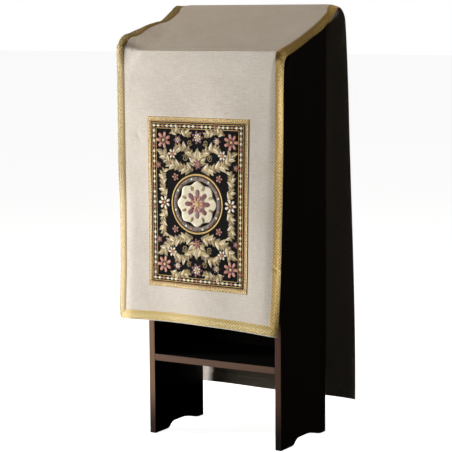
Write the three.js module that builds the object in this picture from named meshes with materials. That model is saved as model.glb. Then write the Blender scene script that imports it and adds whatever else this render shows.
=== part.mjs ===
// Pulpit fall on a lectern: a long cream cloth with a gold braid border and a framed panel,
// draped over the sloping desk of a dark wooden lectern. The shorter fall, with the panel,
// hangs off the desk's low edge and faces -Y; the longer one hangs behind. Millimetres, +Z up.
import * as THREE from 'three';

// Lectern
const board = 18;
const standWidth = 407.5;
const standDepth = 247;
const shelfUnderside = 202;
const backPanelThickness = 6;
const backPanelInset = 3;
const deskWidth = 437;
const deskSlant = 304;
const deskSlope = THREE.MathUtils.degToRad(21.6);
const deskFront = { y: -58, z: 1034.5 };
const cheekRadius = 265;
const cheekBackCut = { top: 226, low: 30 };
const footArch = { frontFoot: 60, riseEnd: 98, fallStart: 134, backFoot: 18, height: 16 };
const footEase = { frontLow: 16, frontHigh: 20, backHigh: 40, backLow: 30 };
const joint = 0.3;

// Cloth
const clothWidth = 500;
const frontFall = 720;
const backFall = 1077;
const clothThickness = 1.4;
const hemDepth = 25;
const hemThickness = 1.2;
const hemStep = 1;
const braidWidth = 24;
const braidThickness = 1.0;
const restGap = 0.4;
const edgeGap = 2.3;
const edgeLiftReach = 34;
const crease = { radius: 3, ridge: 1.2, ridgeReach: 18 };
const backBend = { after: 5, length: 20 };
const hemSwing = 22;
const sideBend = 9;
const cornerReach = { front: 26, back: 8 };

// Panel on the front fall, and the braid that frames it
const panelWidth = 284;
const panelHeight = 420;
const panelBelowCrease = 184;
const panelThickness = 0.8;
const frameSide = 11;
const frameEnd = 13;

// Places along the cloth are measured from the crease over the desk's front edge, positive
// up the desk and down the back fall, negative down the front fall.
const frontHem = -frontFall;
const backEdge = deskSlant + 2;
const backHem = backEdge + backFall;

// How the two side edges leave the flat. start is how far from the middle line the cloth
// begins to turn, rise the angle up to the braid and tip the angle at the edge, in degrees,
// positive towards the face side.
const leftEdge = [
  { along: frontHem, start: 196, rise: -8, tip: -14 },
  { along: -440, start: 196, rise: -10, tip: -18 },
  { along: -290, start: 200, rise: -1, tip: -3 },
  { along: -60, start: 200, rise: 0, tip: -4 },
  { along: -20, start: 194, rise: 10, tip: 6 },
  { along: 10, start: 188, rise: 21, tip: 16 },
  { along: 60, start: 184, rise: 25, tip: 20 },
  { along: 105, start: 190, rise: 14, tip: 16 },
  { along: 150, start: 200, rise: 3, tip: 6 },
  { along: 240, start: 222, rise: -9, tip: 6 },
  { along: 300, start: 216, rise: 2, tip: 3 },
  { along: 400, start: 196, rise: -2, tip: -5 },
  { along: backHem, start: 196, rise: -4, tip: -8 },
];
const rightEdge = [
  { along: frontHem, start: 196, rise: -6, tip: -10 },
  { along: -330, start: 196, rise: -9, tip: -15 },
  { along: -150, start: 204, rise: -1, tip: 2 },
  { along: -62, start: 208, rise: -14, tip: 30 },
  { along: -30, start: 221, rise: -40, tip: -30 },
  { along: 0, start: 224, rise: -66, tip: -62 },
  { along: 40, start: 221, rise: -79, tip: -75 },
  { along: 120, start: 214, rise: -83, tip: -79 },
  { along: 230, start: 211, rise: -84, tip: -76 },
  { along: 275, start: 215, rise: -54, tip: -40 },
  { along: 310, start: 216, rise: -8, tip: 4 },
  { along: 400, start: 200, rise: -8, tip: -8 },
  { along: backHem, start: 196, rise: -4, tip: -8 },
];

// How far the cloth's middle line has slipped to the right of the lectern's.
const slip = [
  { along: frontHem, right: -9 },
  { along: -560, right: -4 },
  { along: -20, right: -3.5 },
  { along: 70, right: 5 },
  { along: 160, right: 10 },
  { along: 240, right: 9 },
  { along: 306, right: 2 },
  { along: 370, right: 8 },
  { along: 600, right: 15 },
  { along: backHem, right: 38 },
];

// Soft waves: height off the face, length across the cloth and how far each runs on a slant.
const waves = [
  { from: frontHem - 2, easeIn: 1, to: -30, easeOut: 160, height: 1.6, length: 230, slant: 0.3, phase: 0.4 },
  { from: 30, easeIn: 60, to: 280, easeOut: 60, height: 0.5, length: 210, slant: 0.8, phase: 1.3 },
  { from: 340, easeIn: 260, to: backHem + 2, easeOut: 1, height: 3.5, length: 320, slant: 0.1, phase: 2.1 },
];

function smooth(t) {
  const c = THREE.MathUtils.clamp(t, 0, 1);
  return c * c * (3 - 2 * c);
}

// One named column of a table at a place along the cloth, eased between its rows.
function column(table, name, along) {
  const next = table.findIndex((row) => row.along >= along);
  if (next === 0) return table[0][name];
  if (next < 0) return table[table.length - 1][name];
  const low = table[next - 1];
  const high = table[next];
  const t = (along - low.along) / (high.along - low.along);
  return THREE.MathUtils.lerp(low[name], high[name], smooth(t));
}

// Direction of the middle line: straight up the front fall, up the desk's slope, then over
// the back edge in a stiff bend and straight down.
function heading(along) {
  const turn = Math.PI / 2 - deskSlope;
  const past = along - backEdge - backBend.after;
  if (past < 0) {
    const t = THREE.MathUtils.clamp(along / (crease.radius * turn) + 0.5, 0, 1);
    return Math.PI / 2 - turn * t;
  }
  const left = Math.exp(-past / backBend.length);
  return -Math.PI / 2 + (deskSlope + Math.PI / 2) * left;
}

// Extra height over the board away from its edges: down to a close lie, with the small
// ridge that the pressed crease keeps.
function seat(along) {
  if (along <= 0 || along >= backEdge) return 0;
  const near = Math.min(along, backEdge - along);
  const ridge = Math.sin(Math.PI * Math.min(1, along / crease.ridgeReach)) ** 2;
  return (restGap - edgeGap) * smooth(near / edgeLiftReach) + crease.ridge * ridge;
}

// Points of the middle line a millimetre apart, walked out from the crease.
function walk(way, length) {
  const gap = edgeGap + clothThickness / 2;
  const half = (Math.PI / 2 - deskSlope) / 2;
  const inset = crease.radius * (1 / Math.cos(half) - 1);
  const rise = (gap * (1 - Math.sin(deskSlope))) / Math.cos(deskSlope);
  let y = deskFront.y - gap + inset * Math.cos(half);
  let z = deskFront.z + rise - inset * Math.sin(half);
  const points = [{ y, z }];
  for (let k = 0; k < length; k += 1) {
    const angle = heading(way * (k + 0.5));
    y += way * Math.cos(angle);
    z += way * Math.sin(angle);
    points.push({ y, z });
  }
  return points;
}

const walkMargin = 60;
const walked = { front: walk(-1, frontFall + walkMargin), back: walk(1, backHem + walkMargin) };

function middleLine(along) {
  const points = along < 0 ? walked.front : walked.back;
  const low = Math.floor(Math.abs(along));
  const t = Math.abs(along) - low;
  const lift = seat(along);
  const angle = heading(along);
  return {
    y: THREE.MathUtils.lerp(points[low].y, points[low + 1].y, t) - Math.sin(angle) * lift,
    z: THREE.MathUtils.lerp(points[low].z, points[low + 1].z, t) + Math.cos(angle) * lift,
  };
}

// The same line with its corners rounded off: the path of a stiff side edge.
function roundedLine(along) {
  const steps = 12;
  const reach = along < backEdge / 2 ? cornerReach.front : cornerReach.back;
  const sum = { y: 0, z: 0 };
  for (let k = -steps; k <= steps; k += 1) {
    const p = middleLine(along + (reach * k) / steps);
    sum.y += p.y;
    sum.z += p.z;
  }
  const count = 2 * steps + 1;
  return { y: sum.y / count, z: sum.z / count };
}

function lineNormal(line, along) {
  const a = line(along - 1);
  const b = line(along + 1);
  return new THREE.Vector2(a.z - b.z, b.y - a.y).normalize();
}

// Cross-section on one side: how far out and how far off the face a point lies, and how
// much it follows the rounded line.
function section(table, along, distance) {
  const start = column(table, 'start', along);
  if (distance <= start) return { out: distance, off: 0, weight: 0 };
  const rise = THREE.MathUtils.degToRad(column(table, 'rise', along));
  const tip = THREE.MathUtils.degToRad(column(table, 'tip', along));
  const line = clothWidth / 2 - braidWidth;
  const steps = 16;
  const step = (distance - start) / steps;
  let out = start;
  let off = 0;
  for (let k = 0; k < steps; k += 1) {
    const at = start + (k + 0.5) * step;
    const angle = rise * smooth((at - start) / sideBend) + (tip - rise) * smooth((at - line) / braidWidth);
    out += step * Math.cos(angle);
    off += step * Math.sin(angle);
  }
  return { out, off, weight: smooth((distance - start) / Math.max(sideBend, line - start)) };
}

function waveHeight(along, across) {
  return waves.reduce((sum, w) => {
    const ease = smooth((along - w.from) / w.easeIn) * smooth((w.to - along) / w.easeOut);
    const turn = (2 * Math.PI * (across + w.slant * along)) / w.length + w.phase;
    return sum + ease * w.height * (1 + Math.sin(turn));
  }, 0);
}

// Lift that clears the desk's side edges.
function sideLift(along, x) {
  if (along <= 0 || along >= backEdge) return 0;
  const near = Math.min(along, backEdge - along) / edgeLiftReach;
  const out = (Math.abs(x) - deskWidth / 2 + edgeLiftReach) / edgeLiftReach;
  return (edgeGap - restGap) * smooth(near) * smooth(out);
}

// A point of the cloth's middle surface, from the place along it and across it.
function surface(along, across) {
  const { out, off, weight } = section(across < 0 ? leftEdge : rightEdge, along, Math.abs(across));
  const flat = middleLine(along);
  const round = roundedLine(along);
  const normal = lineNormal(middleLine, along).lerp(lineNormal(roundedLine, along), weight).normalize();
  const x = column(slip, 'right', along) + Math.sign(across) * out;
  const lift = off + waveHeight(along, across) + sideLift(along, x);
  const fall = along < 0 ? (along / frontHem) ** 1.6 : 0;
  const swing = hemSwing * fall * smooth(across / clothWidth + 0.5);
  return new THREE.Vector3(
    x,
    THREE.MathUtils.lerp(flat.y, round.y, weight) + normal.x * lift - swing,
    THREE.MathUtils.lerp(flat.z, round.z, weight) + normal.y * lift,
  );
}

function faceNormal(along, across) {
  const reach = 0.6;
  const du = surface(along, across + reach).sub(surface(along, across - reach));
  const ds = surface(along + reach, across).sub(surface(along - reach, across));
  return du.cross(ds).normalize();
}

// A closed sheet over a grid of the cloth, between two heights off its middle surface.
function sheet(rows, columnsAt, lowAt, highAt) {
  const points = [];
  const index = [];
  const width = columnsAt(rows[0]).length;
  const at = (j, i, side) => (j * width + i) * 2 + side;
  const quad = (a, b, c, d) => index.push(a, b, c, a, c, d);
  rows.forEach((along) => columnsAt(along).forEach((across) => {
    const p = surface(along, across);
    const n = faceNormal(along, across);
    points.push(...p.clone().addScaledVector(n, lowAt(along)).toArray());
    points.push(...p.clone().addScaledVector(n, highAt(along)).toArray());
  }));
  const end = rows.length - 1;
  const edge = width - 1;
  for (let j = 0; j < end; j += 1) {
    for (let i = 0; i < edge; i += 1) {
      quad(at(j, i, 1), at(j, i + 1, 1), at(j + 1, i + 1, 1), at(j + 1, i, 1));
      quad(at(j, i, 0), at(j + 1, i, 0), at(j + 1, i + 1, 0), at(j, i + 1, 0));
    }
    quad(at(j, 0, 0), at(j, 0, 1), at(j + 1, 0, 1), at(j + 1, 0, 0));
    quad(at(j, edge, 0), at(j + 1, edge, 0), at(j + 1, edge, 1), at(j, edge, 1));
  }
  for (let i = 0; i < edge; i += 1) {
    quad(at(0, i, 0), at(0, i + 1, 0), at(0, i + 1, 1), at(0, i, 1));
    quad(at(end, i, 0), at(end, i, 1), at(end, i + 1, 1), at(end, i + 1, 0));
  }
  const geometry = new THREE.BufferGeometry();
  geometry.setAttribute('position', new THREE.Float32BufferAttribute(points, 3));
  geometry.setIndex(index);
  geometry.computeVertexNormals();
  return geometry;
}

// Evenly spaced places from one up to, but not including, another.
function spread(from, to, step) {
  const count = Math.ceil((to - from) / step - 1e-6);
  return Array.from({ length: count }, (_, k) => from + ((to - from) * k) / count);
}

const halfWidth = clothWidth / 2;
const braidLine = halfWidth - braidWidth;
const panelTop = -panelBelowCrease;
const panelFoot = panelTop - panelHeight;

// The grid along the cloth: how far apart its rows are, up to each place.
const alongSteps = [
  { to: frontHem + braidWidth, step: 12 },
  { to: panelFoot - frameEnd, step: 40 },
  { to: panelFoot, step: frameEnd },
  { to: panelTop, step: 42 },
  { to: panelTop + frameEnd, step: frameEnd },
  { to: -60, step: 28 },
  { to: -8, step: 9 },
  { to: 16, step: 3 },
  { to: 100, step: 14 },
  { to: 280, step: 26 },
  { to: backEdge, step: 9 },
  { to: backEdge + 72, step: 9 },
  { to: backEdge + 180, step: 27 },
  { to: backHem - hemDepth, step: 72 },
  { to: backHem - hemDepth + hemStep, step: hemStep },
  { to: backHem, step: hemDepth },
];
const alongPlaces = alongSteps.flatMap(({ to, step }, k) => {
  const from = k ? alongSteps[k - 1].to : frontHem;
  return spread(from, to, step);
});
alongPlaces.push(backHem);
const innerAcross = [0, 48, 96, panelWidth / 2, panelWidth / 2 + frameSide, 180, 198, 208, 214, 218, 222];
const trimSteps = [1 / 3, 2 / 3, 1];

const mirrored = (places) => [...places.filter((v) => v > 0).map((v) => -v).reverse(), ...places];
const trimAcross = trimSteps.map((t) => braidLine + t * braidWidth);
const clothAcross = mirrored([...innerAcross, braidLine, ...trimAcross]);

const finishes = {
  linen: new THREE.MeshStandardMaterial({ color: 0xd6cdbd, roughness: 0.9, metalness: 0 }),
  braid: new THREE.MeshStandardMaterial({ color: 0xc9a860, roughness: 0.45, metalness: 0.6 }),
  frame: new THREE.MeshStandardMaterial({ color: 0xc08e4f, roughness: 0.6, metalness: 0.3 }),
  panel: new THREE.MeshStandardMaterial({ color: 0x4a3524, roughness: 0.85, metalness: 0 }),
  wood: new THREE.MeshStandardMaterial({ color: 0x14100e, roughness: 0.5, metalness: 0 }),
};

function piece(name, geometry, material) {
  const mesh = new THREE.Mesh(geometry, material);
  mesh.name = name;
  return mesh;
}

// The cloth in one piece, its back hem turned up on the wrong side.
function makeCloth() {
  const half = clothThickness / 2;
  const low = (along) => (along > backHem - hemDepth ? -half - hemThickness : -half);
  return piece('cloth', sheet(alongPlaces, () => clothAcross, low, () => half), finishes.linen);
}

const trimLow = () => clothThickness / 2 + joint;
const braidHigh = () => trimLow() + braidThickness;
const endDistance = (along) => Math.min(along - frontHem, backHem - along);

const mitreTip = 1;
const mitre = (along) => {
  const t = Math.min(1, endDistance(along) / braidWidth);
  return THREE.MathUtils.lerp(halfWidth - mitreTip, braidLine, t);
};

// Braid down one side of the face, its ends cut to a mitre.
function makeSideBraid(name, side) {
  const across = (along) => {
    const inner = mitre(along);
    const places = [0, ...trimSteps].map((t) => side * THREE.MathUtils.lerp(inner, halfWidth, t));
    return places.sort((a, b) => a - b);
  };
  return piece(name, sheet(alongPlaces, across, trimLow, braidHigh), finishes.braid);
}

// Braid across one end of the face, mitred to meet the side braids.
function makeEndBraid(name, rows) {
  const mitreGap = joint * 2;
  const last = innerAcross[innerAcross.length - 2];
  const across = (along) => {
    const reach = mitre(along) - mitreGap;
    const tail = trimSteps.map((t) => THREE.MathUtils.lerp(last, reach, t));
    return mirrored([...innerAcross.filter((v) => v <= last), ...tail]);
  };
  return piece(name, sheet(rows, across, trimLow, braidHigh), finishes.braid);
}

// A flat patch sewn to the front fall between two places along and two across.
function patch(name, [foot, top], [left, right], material) {
  const inside = (places, low, high) => [low, ...places.filter((v) => v > low + 1 && v < high - 1), high];
  const rows = inside(alongPlaces, foot, top);
  const across = inside(clothAcross, left, right);
  return piece(name, sheet(rows, () => across, trimLow, () => trimLow() + panelThickness), material);
}

function makePanel() {
  const half = panelWidth / 2;
  const outer = half + frameSide;
  const inset = joint / 2;
  const height = [panelFoot + inset, panelTop - inset];
  return [
    patch('picture_panel', height, [inset - half, half - inset], finishes.panel),
    patch('frame_foot', [panelFoot - frameEnd, panelFoot - inset], [-outer, outer], finishes.frame),
    patch('frame_top', [panelTop + inset, panelTop + frameEnd], [-outer, outer], finishes.frame),
    patch('frame_left', height, [-outer, -half - inset], finishes.frame),
    patch('frame_right', height, [half + inset, outer], finishes.frame),
  ];
}

// A board cut to an outline in the plane of depth and height, from x over a width.
function plank(name, shape, from, width) {
  const geometry = new THREE.ExtrudeGeometry(shape, { depth: width, bevelEnabled: false, curveSegments: 10 });
  const axes = [new THREE.Vector3(0, 1, 0), new THREE.Vector3(0, 0, 1), new THREE.Vector3(1, 0, 0)];
  geometry.applyMatrix4(new THREE.Matrix4().makeBasis(...axes));
  const mesh = piece(name, geometry, finishes.wood);
  mesh.position.x = from;
  return mesh;
}

// Height of the desk board's underside at a depth.
function deskUnderside(y) {
  return deskFront.z + (y - deskFront.y) * Math.tan(deskSlope) - board / Math.cos(deskSlope);
}

// Outline of a side board: arched foot, rounded front shoulder and a top on the desk's slope.
function cheekShape() {
  const { frontFoot, riseEnd, fallStart, backFoot, height } = footArch;
  const { frontLow, frontHigh, backHigh, backLow } = footEase;
  const heel = standDepth - backFoot;
  const tangent = cheekRadius * Math.tan((Math.PI / 2 - deskSlope) / 2);
  const top = (y) => deskUnderside(y) - joint;
  const shape = new THREE.Shape();
  shape.moveTo(0, 0);
  shape.lineTo(frontFoot, 0);
  shape.bezierCurveTo(frontFoot + frontLow, 0, riseEnd - frontHigh, height, riseEnd, height);
  shape.lineTo(fallStart, height);
  shape.bezierCurveTo(fallStart + backHigh, height, heel - backLow, 0, heel, 0);
  shape.lineTo(standDepth, 0);
  shape.lineTo(standDepth, top(cheekBackCut.top) - cheekBackCut.low);
  shape.lineTo(cheekBackCut.top, top(cheekBackCut.top));
  shape.lineTo(tangent * Math.cos(deskSlope), top(tangent * Math.cos(deskSlope)));
  shape.absarc(cheekRadius, top(0) - tangent, cheekRadius, Math.PI / 2 + deskSlope, Math.PI, false);
  return shape;
}

function boxShape(y0, y1, z0, z1) {
  return new THREE.Shape([[y0, z0], [y1, z0], [y1, z1], [y0, z1]].map(([y, z]) => new THREE.Vector2(y, z)));
}

function makeLectern() {
  const outer = standWidth / 2;
  const inner = outer - board - joint;
  const backFace = standDepth - backPanelInset - backPanelThickness;
  const shelfTop = shelfUnderside + board;
  const deskBoard = plank('desk_board', boxShape(0, deskSlant, -board, 0), -deskWidth / 2, deskWidth);
  deskBoard.position.y = deskFront.y;
  deskBoard.position.z = deskFront.z;
  deskBoard.rotation.x = deskSlope;
  return [
    plank('side_board_left', cheekShape(), -outer, board),
    plank('side_board_right', cheekShape(), outer - board, board),
    plank('shelf', boxShape(0, backFace - joint, shelfUnderside, shelfTop), -inner, 2 * inner),
    plank('back_panel', boxShape(backFace, backFace + backPanelThickness, shelfUnderside,
      deskUnderside(cheekBackCut.top) - cheekBackCut.low), -inner, 2 * inner),
    deskBoard,
  ];
}

const lastRows = [backHem - braidWidth, backHem - braidWidth / 2, backHem];
const firstRows = [frontHem, frontHem + braidWidth / 2, frontHem + braidWidth];
const group = new THREE.Group();
group.add(
  makeCloth(),
  makeSideBraid('braid_left', -1),
  makeSideBraid('braid_right', 1),
  makeEndBraid('braid_front_hem', firstRows),
  makeEndBraid('braid_back_hem', lastRows),
  ...makePanel(),
  ...makeLectern(),
);

// The origin is the middle of the whole piece's footprint, on the floor.
const middle = new THREE.Box3().setFromObject(group).getCenter(new THREE.Vector3());
group.position.set(-middle.x, -middle.y, 0);
group.updateMatrixWorld(true);

export default group;
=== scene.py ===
"""Looks of a pulpit fall: a long cream cloth with a gold braid border and a framed panel of
stitched ornament, laid over the sloping desk of a dark lectern whose near-black faces are painted shade.

Sizes are in millimetres and angles in degrees unless a name says otherwise. Places on the cloth
are given along it, from the crease over the desk's front edge (up the desk is positive, down the
front fall negative), and across it, from its middle line to the right.
"""

import logging
import math
from dataclasses import dataclass, field
from enum import Enum
from typing import NamedTuple

import bmesh
import bpy
import numpy as np
from mathutils import Matrix, Vector


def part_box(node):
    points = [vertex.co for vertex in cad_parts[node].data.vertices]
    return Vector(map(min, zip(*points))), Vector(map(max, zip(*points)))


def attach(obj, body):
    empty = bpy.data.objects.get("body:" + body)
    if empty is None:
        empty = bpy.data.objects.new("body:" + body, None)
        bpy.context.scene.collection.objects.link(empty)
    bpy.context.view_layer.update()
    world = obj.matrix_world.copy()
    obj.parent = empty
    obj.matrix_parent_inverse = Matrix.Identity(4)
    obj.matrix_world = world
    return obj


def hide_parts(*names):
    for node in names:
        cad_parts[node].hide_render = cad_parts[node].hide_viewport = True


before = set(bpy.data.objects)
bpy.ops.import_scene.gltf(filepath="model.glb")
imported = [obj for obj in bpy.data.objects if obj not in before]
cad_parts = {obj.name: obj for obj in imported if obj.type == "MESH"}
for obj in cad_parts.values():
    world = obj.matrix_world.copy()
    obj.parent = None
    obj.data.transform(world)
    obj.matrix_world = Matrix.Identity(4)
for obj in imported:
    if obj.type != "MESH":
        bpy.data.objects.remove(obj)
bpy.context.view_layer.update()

MM = 0.001
BODY = "root"
FLAT = "flat_mm"
TURN = 2 * math.pi
# Size of a noise spot along an axis where it mustn't show.
ENDLESS = 400.0
# Distance from wave to wave of a wave texture of scale 1.
WAVE = math.pi / 10
# How low a patch's or a cord's edge starts under the ground it lies on, as a share of its height.
DIP = -0.15

Socket = bpy.types.NodeSocket
Material = bpy.types.Material
Piece = bpy.types.Object
Pair = tuple[float, float]
Triple = tuple[float, float, float]
Mirror = tuple[int, int]
log = logging.getLogger("pulpit_fall")


# ---- small helpers ----


def linear(code: str) -> tuple[float, ...]:
    """Turns an sRGB colour, six hex digits after a hash, to linear with an alpha of 1."""
    parts = [int(code[k : k + 2], 16) / 255 for k in (1, 3, 5)]
    return (*(c / 12.92 if c <= 0.04045 else ((c + 0.055) / 1.055) ** 2.4 for c in parts), 1.0)


def ease(t: np.ndarray) -> np.ndarray:
    """Smooth step from 0 to 1, for places that run from 0 to 1 between its ends."""
    c = np.clip(t, 0.0, 1.0)
    return c * c * (3.0 - 2.0 * c)


def ridge(t: np.ndarray, at: float, width: float) -> np.ndarray:
    """Rounded ridge of height 1 over a place."""
    return np.exp(-(((t - at) / width) ** 2))


def unit(vectors: np.ndarray) -> np.ndarray:
    """The same vectors with a length of 1."""
    return vectors / np.linalg.norm(vectors, axis=-1, keepdims=True)


def follow(at: np.ndarray | float, places: np.ndarray, line: np.ndarray) -> np.ndarray:
    """Reads a line of two columns, given at some places, at other places."""
    return np.stack([np.interp(at, places, line[:, k]) for k in (0, 1)], -1)


def distances(line: np.ndarray) -> np.ndarray:
    """How far along a line each of its points lies."""
    return np.concatenate([[0], np.cumsum(np.linalg.norm(np.diff(line, axis=0), axis=1))])


def column(rows: tuple, name: str, along: np.ndarray) -> np.ndarray:
    """One named column of a table, joined by a smooth curve that never overshoots a row.

    Args:
        rows: the table, each row with its place along the cloth.
        name: the column.
        along: places along the cloth.

    Returns:
        The column's value at each place.
    """
    at = np.array([row.along for row in rows], float)
    value = np.array([getattr(row, name) for row in rows], float)
    step = np.diff(at)
    rate = np.diff(value) / step
    same_way = rate[:-1] * rate[1:] > 0
    total = np.where(same_way, rate[:-1] + rate[1:], 1.0)
    slope = np.concatenate([[0.0], np.where(same_way, 2 * rate[:-1] * rate[1:] / total, 0.0), [0.0]])
    low = np.clip(np.searchsorted(at, along) - 1, 0, len(at) - 2)
    t = np.clip((along - at[low]) / step[low], 0.0, 1.0)
    bend = step[low] * t * (1 - t) * ((1 - t) * slope[low] - t * slope[low + 1])
    return value[low] + (value[low + 1] - value[low]) * ease(t) + bend


def spaced(start: float, *stops: Pair) -> np.ndarray:
    """Places at a spacing that changes from stretch to stretch.

    Args:
        start: the first place.
        stops: each next place, and the spacing up to it.

    Returns:
        The places in order.
    """
    places, at = [start], start
    for end, step in stops:
        count = max(1, round((end - at) / step))
        places.extend(at + (end - at) * (k + 1) / count for k in range(count))
        at = end
    return np.array(places)


class Shader:
    """A finish while it is made."""

    def __init__(self, name: str) -> None:
        """Begins an empty material.

        Args:
            name: the finish's plain name.
        """
        self.material = bpy.data.materials.new(name)
        self.material.use_nodes = True
        self.tree = self.material.node_tree
        self.tree.nodes.clear()

    def add(self, kind: str, inputs: dict, out: int | str = 0, **settings: str) -> Socket:
        """Adds a shader node.

        Args:
            kind: the node's type.
            inputs: the value of each input, or the socket that feeds it.
            out: the output to give back.
            settings: the node's own properties.

        Returns:
            The output.
        """
        made = self.tree.nodes.new("ShaderNode" + kind)
        for key, value in settings.items():
            setattr(made, key, value)
        for key, value in inputs.items():
            if isinstance(value, Socket):
                self.tree.links.new(value, made.inputs[key])
            else:
                made.inputs[key].default_value = value
        return made.outputs[out]

    def flat(self) -> Socket:
        """Places on the flat cloth: across, along and off it, in millimetres."""
        return self.add("Attribute", {}, "Vector", attribute_name=FLAT)

    def solid(self) -> Socket:
        """Places on the object itself, in millimetres."""
        place = self.add("TexCoord", {}, "Object")
        return self.add("VectorMath", {0: place, 1: (1 / MM,) * 3}, operation="MULTIPLY")

    def blend(self, share: float | Socket, first: str | Socket, second: str | Socket) -> Socket:
        """Mixes two colours, given as codes or sockets, with some share of the second."""
        a, b = (linear(colour) if isinstance(colour, str) else colour for colour in (first, second))
        return self.add("Mix", {0: share, 6: a, 7: b}, 2, data_type="RGBA")

    def spots(self, at: Socket, size: Triple, low: float, high: float, detail: float = 2.0) -> Socket:
        """Noise in spots or streaks, stretched to run from 0 to 1.

        Args:
            at: places in millimetres.
            size: the size of a spot along each axis.
            low: the noise that gives 0.
            high: the noise that gives 1.
            detail: how many finer layers the noise has.

        Returns:
            The value.
        """
        grid = self.add("Mapping", {"Scale": tuple(1 / s for s in size), "Vector": at})
        noise = self.add("TexNoise", {"Scale": 1.0, "Detail": detail, "Vector": grid}, "Fac")
        return self.add("MapRange", {"From Min": low, "From Max": high, "Value": noise})

    def ribs(self, at: Socket, direction: str, pitch: float, wander: float) -> Socket:
        """Even ribs from 0 to 1, such as threads side by side, that noise bends a little."""
        values = {"Scale": WAVE / pitch, "Distortion": wander, "Vector": at}
        return self.add("TexWave", values, "Fac", bands_direction=direction, wave_profile="SIN")

    def bump(self, height: Socket, depth: float, *under: Socket) -> Socket:
        """Turns a height from 0 to 1 into a bump of some depth, over the normal of one below it."""
        below = {"Normal": normal for normal in under}
        return self.add("Bump", {"Strength": 1.0, "Distance": depth * MM, "Height": height} | below)

    def finish(self, inputs: dict) -> Material:
        """Adds the surface.

        Args:
            inputs: the value of each of its inputs, or the socket that feeds it.

        Returns:
            The material.
        """
        surface = self.add("BsdfPrincipled", inputs)
        end = self.tree.nodes.new("ShaderNodeOutputMaterial")
        self.tree.links.new(surface, end.inputs["Surface"])
        return self.material


# ---- finishes ----


@dataclass(frozen=True)
class SlubCloth:
    """Viscose and linen cloth, plain woven from uneven slubbed yarns: a matt cream with fine
    level streaks, where thick weft yarns lie beside thin ones."""

    light: str = "#e8e0d5"
    dark: str = "#c4baad"
    patch_light: str = "#e6dfd2"
    patch_dark: str = "#cbbba6"
    yarn: float = 1.1
    slub: Triple = (26.0, 1.7, 40.0)
    fine_slub: Triple = (9.0, 1.3, 40.0)
    warp_slub: Triple = (1.7, 30.0, 40.0)
    patch: Triple = (90.0, 90.0, 90.0)

    def material(self) -> Material:
        """Builds the material.

        Returns:
            The material.
        """
        made = Shader("slubbed_cream_cloth")
        at = made.flat()
        weft = made.spots(at, self.slub, 0.34, 0.68)
        warp = made.spots(at, self.warp_slub, 0.3, 0.7)
        fine = made.spots(at, self.fine_slub, 0.3, 0.7, 1.0)
        uneven = made.spots(at, self.patch, 0.3, 0.7, 1.0)
        tone = made.blend(weft, self.dark, self.light)
        tone = made.blend(0.42, tone, made.blend(warp, self.dark, self.light))
        tone = made.blend(0.3, tone, made.blend(fine, self.dark, self.light))
        tone = made.blend(0.15, tone, made.blend(uneven, self.patch_dark, self.patch_light))
        yarns = made.bump(made.ribs(at, "Y", self.yarn, 1.5), 0.10)
        yarns = made.bump(made.ribs(at, "X", self.yarn, 1.5), 0.10, yarns)
        yarns = made.bump(warp, 0.16, made.bump(weft, 0.2, yarns))
        # Textile fibre: no gloss, a little sheen at grazing angles.
        return made.finish({"Base Color": tone, "Normal": yarns, "Roughness": 0.92, "IOR": 1.5,
                            "Sheen Weight": 0.12, "Sheen Roughness": 0.5})


@dataclass(frozen=True)
class GoldBraid:
    """Woven braid of metallised film thread: old gold with an olive cast and a mustard band along its
    inner side, in a lattice of crossing threads whose crowns are pale and whose gaps are deep, which is
    painted highlight and painted shade, with painted glints over all."""

    name: str
    pale: str
    deep: str
    olive: str
    orange: str
    inner: str
    inner_share: float = 0.6
    lattice: float = 4.4
    glint: float = 5.0
    cast: float = 8.0

    def material(self) -> Material:
        """Builds the material.

        Returns:
            The material.
        """
        made = Shader(self.name)
        at = made.flat()
        mirrored = made.add("Mapping", {"Scale": (1.0, -1.0, 1.0), "Vector": at})
        glint = made.spots(at, (self.glint, self.glint, ENDLESS), 0.4, 0.6, 1.0)
        cast = made.spots(at, (self.cast, self.cast * 1.6, ENDLESS), 0.42, 0.58)
        band = made.add("SeparateXYZ", {0: at}, "Z")
        inside = made.add("MapRange", {"From Min": 0.42, "From Max": 0.3, "To Max": self.inner_share,
                                       "Value": band})
        # The real threads are 0.5 mm; the lattice is drawn coarser, so that it shows.
        threads = [made.ribs(place, "DIAGONAL", self.lattice, 0.6) for place in (at, mirrored)]
        crown = made.add("Math", dict(enumerate(threads)), operation="MULTIPLY")
        tone = made.blend(cast, self.olive, self.orange)
        # Painted glints: spots of the pale tone over the deep one.
        tone = made.blend(0.6, tone, made.blend(glint, self.deep, self.pale))
        tone = made.blend(inside, tone, self.inner)
        # Painted highlight on the lattice's crowns and painted shade in its gaps.
        tone = made.blend(0.5, tone, made.blend(crown, self.deep, self.pale))
        relief = made.bump(glint, 0.22, made.bump(crown, 0.15))
        # Clear film over a metal coat: a coloured body under a whitish, broken gloss.
        return made.finish({"Base Color": tone, "Normal": relief, "Metallic": 0.15, "Roughness": 0.58})


@dataclass(frozen=True)
class PanelCloth:
    """Black cotton twill ground of the panel: soft and matt, with a fine diagonal rib."""

    colour: str = "#0d0c0d"
    worn: str = "#151213"
    rib: float = 1.2

    def material(self) -> Material:
        """Builds the material.

        Returns:
            The material.
        """
        made = Shader("black_twill")
        at = made.flat()
        dust = made.spots(at, (14.0, 14.0, 14.0), 0.4, 0.7, 4.0)
        twill = made.bump(made.ribs(at, "DIAGONAL", self.rib, 0.4), 0.14)
        return made.finish({"Base Color": made.blend(dust, self.colour, self.worn), "Normal": twill,
                            "Roughness": 0.88, "Specular IOR Level": 0.08})


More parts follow.
